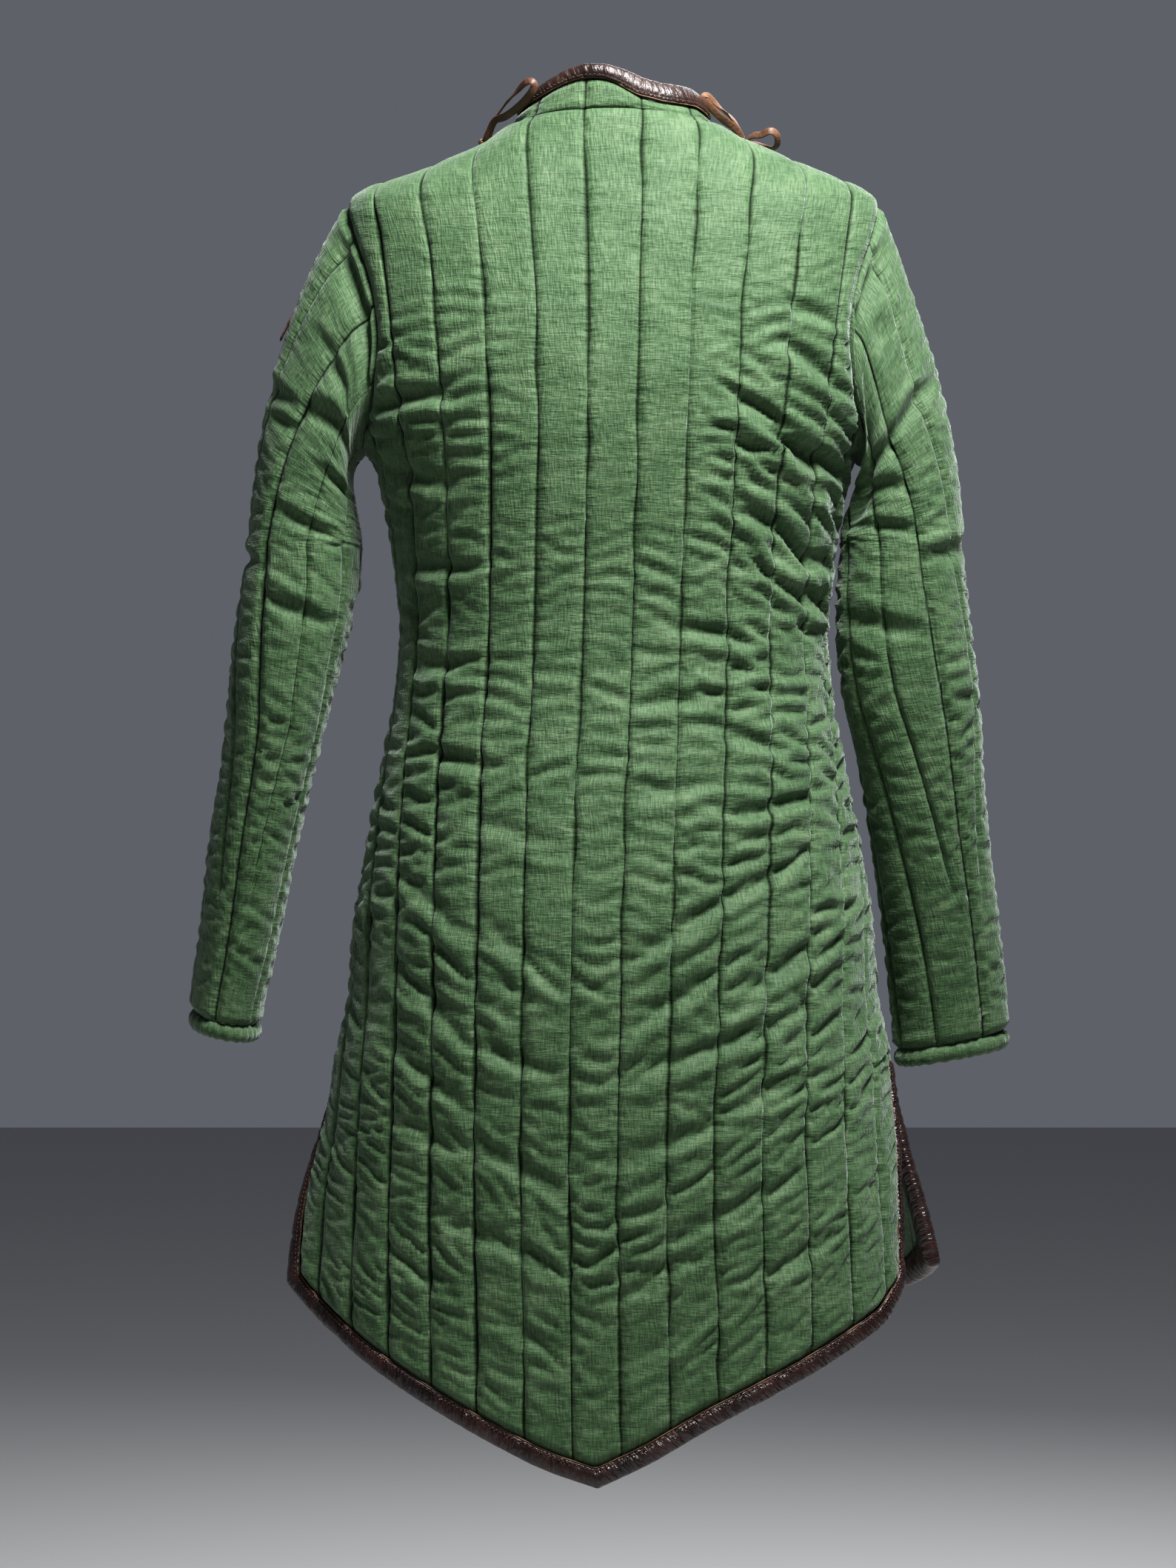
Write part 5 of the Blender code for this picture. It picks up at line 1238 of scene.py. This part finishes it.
# ------------------------------------------------------------------ the collar
def neck_line():
    """Outer edge of the neck seam round from the left of the opening to the right:
    points, level outward directions, cloth length, stitch lines."""
    qs = float(side_arc("front", -0.003) / pitch_at(-0.003))
    qb = float(side_arc("back", -0.003) / pitch_at(-0.003))
    marks = [("front", -np.linspace(0.016, qs, 60)), ("back", np.linspace(-qb, qb, 121)[1:-1]),
             ("front", np.linspace(qs, 0.016, 60))]
    spots = [torso_point(f, q, top_height(f, q)) - torso_normal(f, q, top_height(f, q)) * SINK
             for f, q in marks]
    spots = eased(np.concatenate(spots), 8)
    s = run_length(spots)
    s -= s[np.argmin(spots[:, 1])]
    along = np.gradient(spots, axis=0)
    out = eased(unit(np.stack([along[:, 1], -along[:, 0], 0 * s], axis=1)), 12)
    lines = []
    for face, q in (("back", -1.5), ("back", -0.5), ("back", 0.5), ("back", 1.5),
                    ("front", -1.5), ("front", 1.5)):
        p = torso_point(face, q, float(top_height(face, np.array([q]))[0]))
        lines.append(s[np.argmin(((spots - p) ** 2).sum(1))])
    return spots, unit(out), s, np.sort(lines)


NECK = neck_line()


def along_neck(k, s):
    """Points (k = 0) or outward directions (k = 1) of the neck line at cloth length s."""
    return read(s, NECK[2], NECK[k])


def collar_share(s):
    """How much wider than COLLAR_BIND the collar's leather lies on the right of the neck."""
    return 1.0 + 0.38 * smooth((s + 0.006) / 0.03) * (1.0 - smooth((s - 0.095) / 0.03))


def collar_point(s, h):
    """Crown surface of the standing collar, leaning in by 0.12 of its height, by 0.30
    more at the left side of the neck and by 0.28 more from the middle to the right."""
    lean = 0.12 + 0.3 * smooth(-s / 0.07) + 0.28 * smooth((s + 0.02) / 0.06)
    return (along_neck(0, s) + along_neck(1, s) * (SINK - lean * h)[..., None]
            + h[..., None] * np.array([0.0, 0.0, 1.0]))


def collar_normal(s, h):
    """Outward unit normal of the collar, the same at every height h."""
    face = along_neck(1, s)
    face[..., 2] = 0.1
    return unit(face)


def collar_cloth():
    """Collar: grid (height, cloth length) between the bindings.  Returns the piece, its
    length, and its height and the width it stands for in every column."""
    first, last = NECK[2][0] + BIND + 0.0006, NECK[2][-1] - BIND - 0.0006
    lines = NECK[3]
    lines = lines[(lines > first + 0.012) & (lines < last - 0.012)]
    stops = np.concatenate([[first], lines, [last]])
    cols = np.append((stops[:-1, None] + np.diff(stops)[:, None] * SPREAD).ravel(), last)
    share = np.interp(cols, stops, np.arange(stops.size))
    rows = np.linspace(0.0, 1.0, 11)[:, None]
    foot = 0.0018
    top = np.interp(cols, *COLLAR_TOP.T) - COLLAR_BIND * collar_share(cols) * 1.02 - 0.0006
    h = foot + (top - foot) * rows
    s = np.repeat(cols[None, :], 11, axis=0)
    edge = np.minimum(top - h, np.minimum(s - first, last - s))
    rise = crown(share - 0.5)[None, :] * np.minimum(
        smooth(edge / 0.006), 0.62 + 0.38 * smooth((h - foot) / 0.004)) * 0.85
    edge = np.minimum(edge, h - foot)
    lift = 0.0004 * wander(21, h.shape, (5, 60)) * smooth(edge / 0.004)
    skin, out = collar_point(s, h), collar_normal(s, h)
    cloth = np.stack([s, h, 0 * s + stitched(share + 0.5, 0.01)], axis=-1)
    made = add_wall("collar cloth", skin - out * (SINK * (1 - rise) - lift)[..., None],
                    skin - out * WALL, cloth, ["collar"])
    return made, last - first, top - foot, np.gradient(cols)


def collar_edge():
    """Up the right end of the collar, along its top and down the left end."""
    a, b = NECK[2][0], NECK[2][-1]
    s = np.linspace(a, b, 80)
    top = resample(np.stack([s, np.interp(s, *COLLAR_TOP.T)], axis=1), EDGE_STEP)
    return np.concatenate([[(b, 0.0024)], top[::-1], [(a, 0.0024)]])


back, back_area, back_wide, back_long = panel_cloth("back cloth", "back", 0, 11)
front_r, front_area, front_wide, front_long = panel_cloth("right front cloth", "front", 1, 21)
front_l = panel_cloth("left front cloth", "front", -1, 31)[0]
arm_r, arm_r_area, arm_r_wide = sleeve_cloth("right sleeve cloth", 1)
arm_l, arm_l_area, arm_l_wide = sleeve_cloth("left sleeve cloth", -1)
roll_r, roll_l = cuff_roll("right cuff roll", 1), cuff_roll("left cuff roll", -1)
collar, collar_long, collar_high, collar_step = collar_cloth()
bind_back = leather_band("back leather", *on_torso("back"), back_edge(), BIND, 31,
                         ["back_binding"])
bind_r, bind_l = (
    leather_band(f"{word} front leather", *on_torso("front"), front_edge(side), BIND, seed,
                 [f"front_{word}_binding"], BAND_FRONT, wider)
    for word, side, seed, wider in (("right", 1, 32, (0, 1)), ("left", -1, 33, (1, 1))))
bind_c = leather_band("collar leather", collar_point, collar_normal, collar_edge(), COLLAR_BIND,
                      34, ["collar_binding"], mat=COLLAR_LEATHER, share=collar_share)
half = len(SEAMS) // 2
add_stitches("body stitches", SEAMS[:half])
add_stitches("other stitches", SEAMS[half:])
add_stitches("leather stitches", LEATHER_SEAMS, pitch=0.0034, long=0.0023, thick=0.00038,
             lift=0.0002, mat=BROWN_THREAD)


# ------------------------------------------------------------------ the thongs
def spline(points, count):
    """Smooth run through a few points: between b and c of the four points a, b, c, d,
    p = (2b + (c - a) t + (2a - 5b + 4c - d) t^2 + (3b - a - 3c + d) t^3) / 2."""
    p = np.asarray(points, float)
    p = np.concatenate([[2 * p[0] - p[1]], p, [2 * p[-1] - p[-2]]])
    u = np.linspace(0, len(points) - 1.0001, count)
    i, t = u.astype(int), (u - u.astype(int))[:, None]
    a, b, c, d = p[i], p[i + 1], p[i + 2], p[i + 3]
    return 0.5 * (2 * b + (c - a) * t + (2 * a - 5 * b + 4 * c - d) * t ** 2
                  + (3 * b - a - 3 * c + d) * t ** 3)


def ribbon(path, flat, width, thick):
    """Rings of a flat thong with rounded edges along a path; `flat` is the way it faces.
    Section x = W/2 sign(c)|c|^0.6, y = T/2 sign(s)|s|^0.8 over twelve angles."""
    along = unit(np.gradient(path, axis=0))
    flat = unit(flat - along * (flat * along).sum(1, keepdims=True))
    across = np.cross(along, flat)
    a = np.radians(np.arange(12) * 30 + 15)
    x = np.sign(np.cos(a)) * np.abs(np.cos(a)) ** 0.6 * width / 2
    y = np.sign(np.sin(a)) * np.abs(np.sin(a)) ** 0.8 * thick / 2
    ease = np.ones((len(path), 1, 1))
    ease[[0, -1]] = 0.72
    return path[:, None] + (across[:, None] * x[None, :, None]
                            + flat[:, None] * y[None, :, None]) * ease


def add_strands(name, strands, mat, nodes):
    """Several tubes with shut ends as one mesh."""
    points, quads, tris, first = [], [], [], 0
    for rings in strands:
        quads.append(grid_quads(*rings.shape[:2], first, ring=True))
        spots, fans = shut(rings, first)
        points.append(spots)
        tris.append(fans)
        first += len(spots)
    return add_piece(name, np.concatenate(points), np.concatenate(quads), np.concatenate(tris),
                     mat, nodes, merge=0)


def knot_wraps(at, right, down, out, size):
    """Tightened knot: two turns of thong over an oval of radii `size`."""
    axes = np.array([right, down, out])
    t = np.linspace(0, 2 * np.pi, 22)
    turns = []
    for lean, grow in ((0.55, 1.0), (-0.45, 0.86)):
        run = np.stack([np.cos(t) * np.cos(lean), np.cos(t) * np.sin(lean), np.sin(t)], 1)
        place = run * size * grow @ axes + at
        turns.append(ribbon(place, unit(place - at), size[0] * 0.8, BOW_THICK))
    return turns


def free_end(name, path, flat, thick, node):
    """Loose end of a thong; it leaves at the first point of its path."""
    made = sweep(name, ribbon(path, flat, THONG_WIDTH, thick), THONG, [node])
    tuple(map(float, path[0]))
    [tuple(map(float, p)) for p in path]


def front_bow(k, height):
    """Tie number k + 1 of the opening: knot, two loops, the strap behind it and two loose
    ends; places in millimetres along (across, fall, out of the chest) from the knot."""
    spot, face = torso_point("front", 0.0, height), torso_normal("front", 0.0, height)
    across = -unit(np.cross(face, (0.0, 0.0, 1.0)))
    fall = np.cross(across, face)
    fall *= -np.sign(fall[2])
    axes, at, swing = np.array([across, fall, face]) * 0.001, spot + face * 0.0068, (-1) ** k

    def laid(run, count):
        """Path of `count` points through places given in the knot's own axes."""
        return spline(np.array(run) @ axes + at, count)
    node = f"front_tie_{k + 1}"
    strands = knot_wraps(at, across, fall, face, np.array([0.0046, 0.0038, 0.004]))
    for run in ([(0, -1, 1.0), (8, -3, 3.8), (17, 2, 4.2), (19, 9 + swing, 3.4), (12, 10, 2.8),
                 (1, 2.5, 1.2)],
                [(0, -1, 1.0), (-8, -3, 3.8), (-16, 3, 4.2), (-18, 10 - swing, 3.4), (-11, 11, 2.8),
                 (-1, 2.5, 1.2)]):
        path = laid(run, 26)
        strands.append(ribbon(path, path - path.mean(0), THONG_WIDTH, THONG_THICK))
    path = laid([(-9.5, 0.5, -5.2), (0, 0.5, -2.6), (9.5, 0.5, -5.2)], 12)
    strands.append(ribbon(path, np.repeat(face[None], 12, 0), THONG_WIDTH, THONG_THICK))
    add_strands(f"front bow {k + 1}", strands, THONG, [node])
    for mark, run in (("a", [(1, 1, 0.5), (5, 12, 0), (6 + swing, 28, -1.4), (5, 44, -1.6)]),
                      ("b", [(-1, 1, 0.5), (-6, 14, 0), (-8 + swing, 26, -1.4), (-9, 38, -1.6)])):
        free_end(f"front thong end {k + 1} {mark}", laid(run, 18), np.repeat(face[None], 18, 0),
                 THONG_THICK, node)


for k, height in enumerate(np.linspace(-0.11, -0.65, 5)):
    front_bow(k, height)


def chest_spot(x, z, lift):
    """Point `lift` outside the front crown at place x and height z."""
    q = np.linspace(0.05, float(side_arc("front", z) / pitch_at(z)), 400)
    k = np.interp(abs(x), torso_point("front", q, np.full(400, z))[:, 0], q) * np.sign(x)
    return torso_point("front", k, z) + torso_normal("front", k, z) * lift


def shoulder_bow(name, node, knot, loops, tails):
    """Bow on the front of a shoulder: loops in millimetres of the frame, ends down the chest."""
    knot = chest_spot(*knot, 0.0034)
    strands = knot_wraps(knot, np.array([1.0, 0, 0]), np.array([0, 0.5, -0.86]),
                         np.array([0, 0.86, 0.5]), np.array([0.0044, 0.004, 0.0036]))
    for k, run in enumerate(loops):
        near = np.array([0.0007 * k, 0.0012 + 0.0005 * k, 0.0024 - 0.0004 * k])
        run = [[knot + near], np.array(run) * 0.001, [knot - near * (-1, 1, 1)]]
        path = spline(np.concatenate(run), 40)
        looks = unit(path - path.mean(0)) + np.outer(np.linspace(0.2, 2.0, 40), (0.0, -1.0, 0.1))
        strands.append(ribbon(path, looks, 0.006, BOW_THICK))
    add_strands(name, strands, THONG, [node])
    for mark, run in zip("ab", tails):
        path = np.array([chest_spot(x * 0.001, z * 0.001, 0.0011) for x, z in run])
        path = spline(np.concatenate([[knot], path]), 18)
        free_end(f"{name} end {mark}", path, np.repeat([[0.0, 0.6, 0.8]], 18, axis=0),
                 BOW_THICK, node)


shoulder_bow(
    "left shoulder bow", "shoulder_thong_left", (-0.0975, -0.013),
    loops=[[(-91, 6, 1), (-83, -13, 8.5), (-74.5, -31, 15), (-67.5, -43, 20), (-62.5, -47, 21),
            (-60, -46.5, 17.5), (-63.5, -43, 11.5), (-72, -31, 4.5), (-83, -13, -0.5),
            (-92, 3, -2)]],
    tails=[[(-100, -26), (-99, -48), (-97, -66)], [(-106, -30), (-111, -46), (-113, -58)]])
shoulder_bow(
    "right shoulder bow", "shoulder_thong_right", (0.1003, -0.015),
    loops=[[(96, 14, -2.5), (87, 1, 4.5), (77, -11, 11.5), (71.5, -18, 15), (69, -20, 13),
            (73, -17, 7.5), (84, -5, -1.0), (95, 9, -7)],
           [(108, 14, -11), (114, 6, -11.5), (119, 2, -9.5), (123, 2, -9.5), (126.5, 5, -13),
            (126, 12, -19.5), (119, 20, -20), (110, 22, -17)]],
    tails=[[(101, -26), (99, -46), (98, -62)], [(107, -28), (112, -44), (115, -55)]])

# the arm's thong runs down just before the outermost line of the sleeve, 128 to 172 mm down
shares, trial = np.linspace(0.03, 0.3, 109), np.linspace(0.8, 4.4, 181)
rings = sleeve_point(-1, trial[None, :], shares[:, None])
far = np.argmin(rings[..., 0], axis=1)
low = np.linspace(0.126, 0.172, 20)
w = np.interp(low, -rings[np.arange(109), far, 2], shares)
q = np.interp(w, shares, trial[far]) - np.linspace(0.1, -0.04, 20)
looks = sleeve_normal(-1, q, w)
path = sleeve_point(-1, q, w) + looks * np.linspace(0.0008, 0.0048, 20)[:, None]
free_end("left arm thong", path, looks, THONG_THICK, "arm_thong_left")

# ------------------------------------------------------------ floor and light
FLOOR_HEIGHT, FLOOR_REACH = -1.52, 9
floor_mesh = bpy.data.meshes.new("floor")
floor_mesh.from_pydata([(x * FLOOR_REACH, y * FLOOR_REACH, 0)
                        for x, y in ((-1, -1), (1, -1), (1, 1), (-1, 1))], [], [(0, 1, 2, 3)])
floor = bpy.data.objects.new("floor", floor_mesh)
floor.location = (0.0, 0.0, FLOOR_HEIGHT)
bpy.context.scene.collection.objects.link(floor)
pale, _, finish = stuff("pale floor")
finish({"Base Color": (0.62, 0.62, 0.62, 1.0), "Roughness": 0.9})
floor_mesh.materials.append(pale)

# square area lights, columns: name, place, point looked at, size, power
LIGHTS = (
    ("key", (0.42, -0.8, 1.08), (0.0, -0.1, -0.35), 0.5, 77.0),
    ("fill", (-1.8, -2.4, -0.1), (0.0, 0.0, -0.6), 1.6, 2.5),
    ("front", (0.6, 2.0, 0.9), (0.0, 0.0, -0.4), 1.4, 36.0))
for name, place, aim, size, power in LIGHTS:
    lamp = bpy.data.lights.new(name, "AREA")
    lamp.shape, lamp.size, lamp.energy = "SQUARE", size, power
    obj = bpy.data.objects.new(name, lamp)
    obj.location = place
    obj.rotation_euler = (Vector(aim) - Vector(place)).to_track_quat("-Z", "Y").to_euler()
    bpy.context.scene.collection.objects.link(obj)

# grey-blue surroundings, weaker behind the back of the coat than behind its front
sky = bpy.data.worlds.new("sky")
sky.use_nodes = True
add, fill = node_tools(sky.node_tree)
way = add("SeparateXYZ", {0: add("TexCoord", out="Generated")}, "Y")
fill(sky.node_tree.nodes["Background"], {"Color": (0.33, 0.35, 0.4, 1.0),
                                         "Strength": remap(add, way, -0.6, 0.7, 0.15, 0.36)})
bpy.context.scene.world = sky
bpy.context.scene.view_settings.view_transform = "Standard"
bpy.context.scene.view_settings.look = "Medium High Contrast"
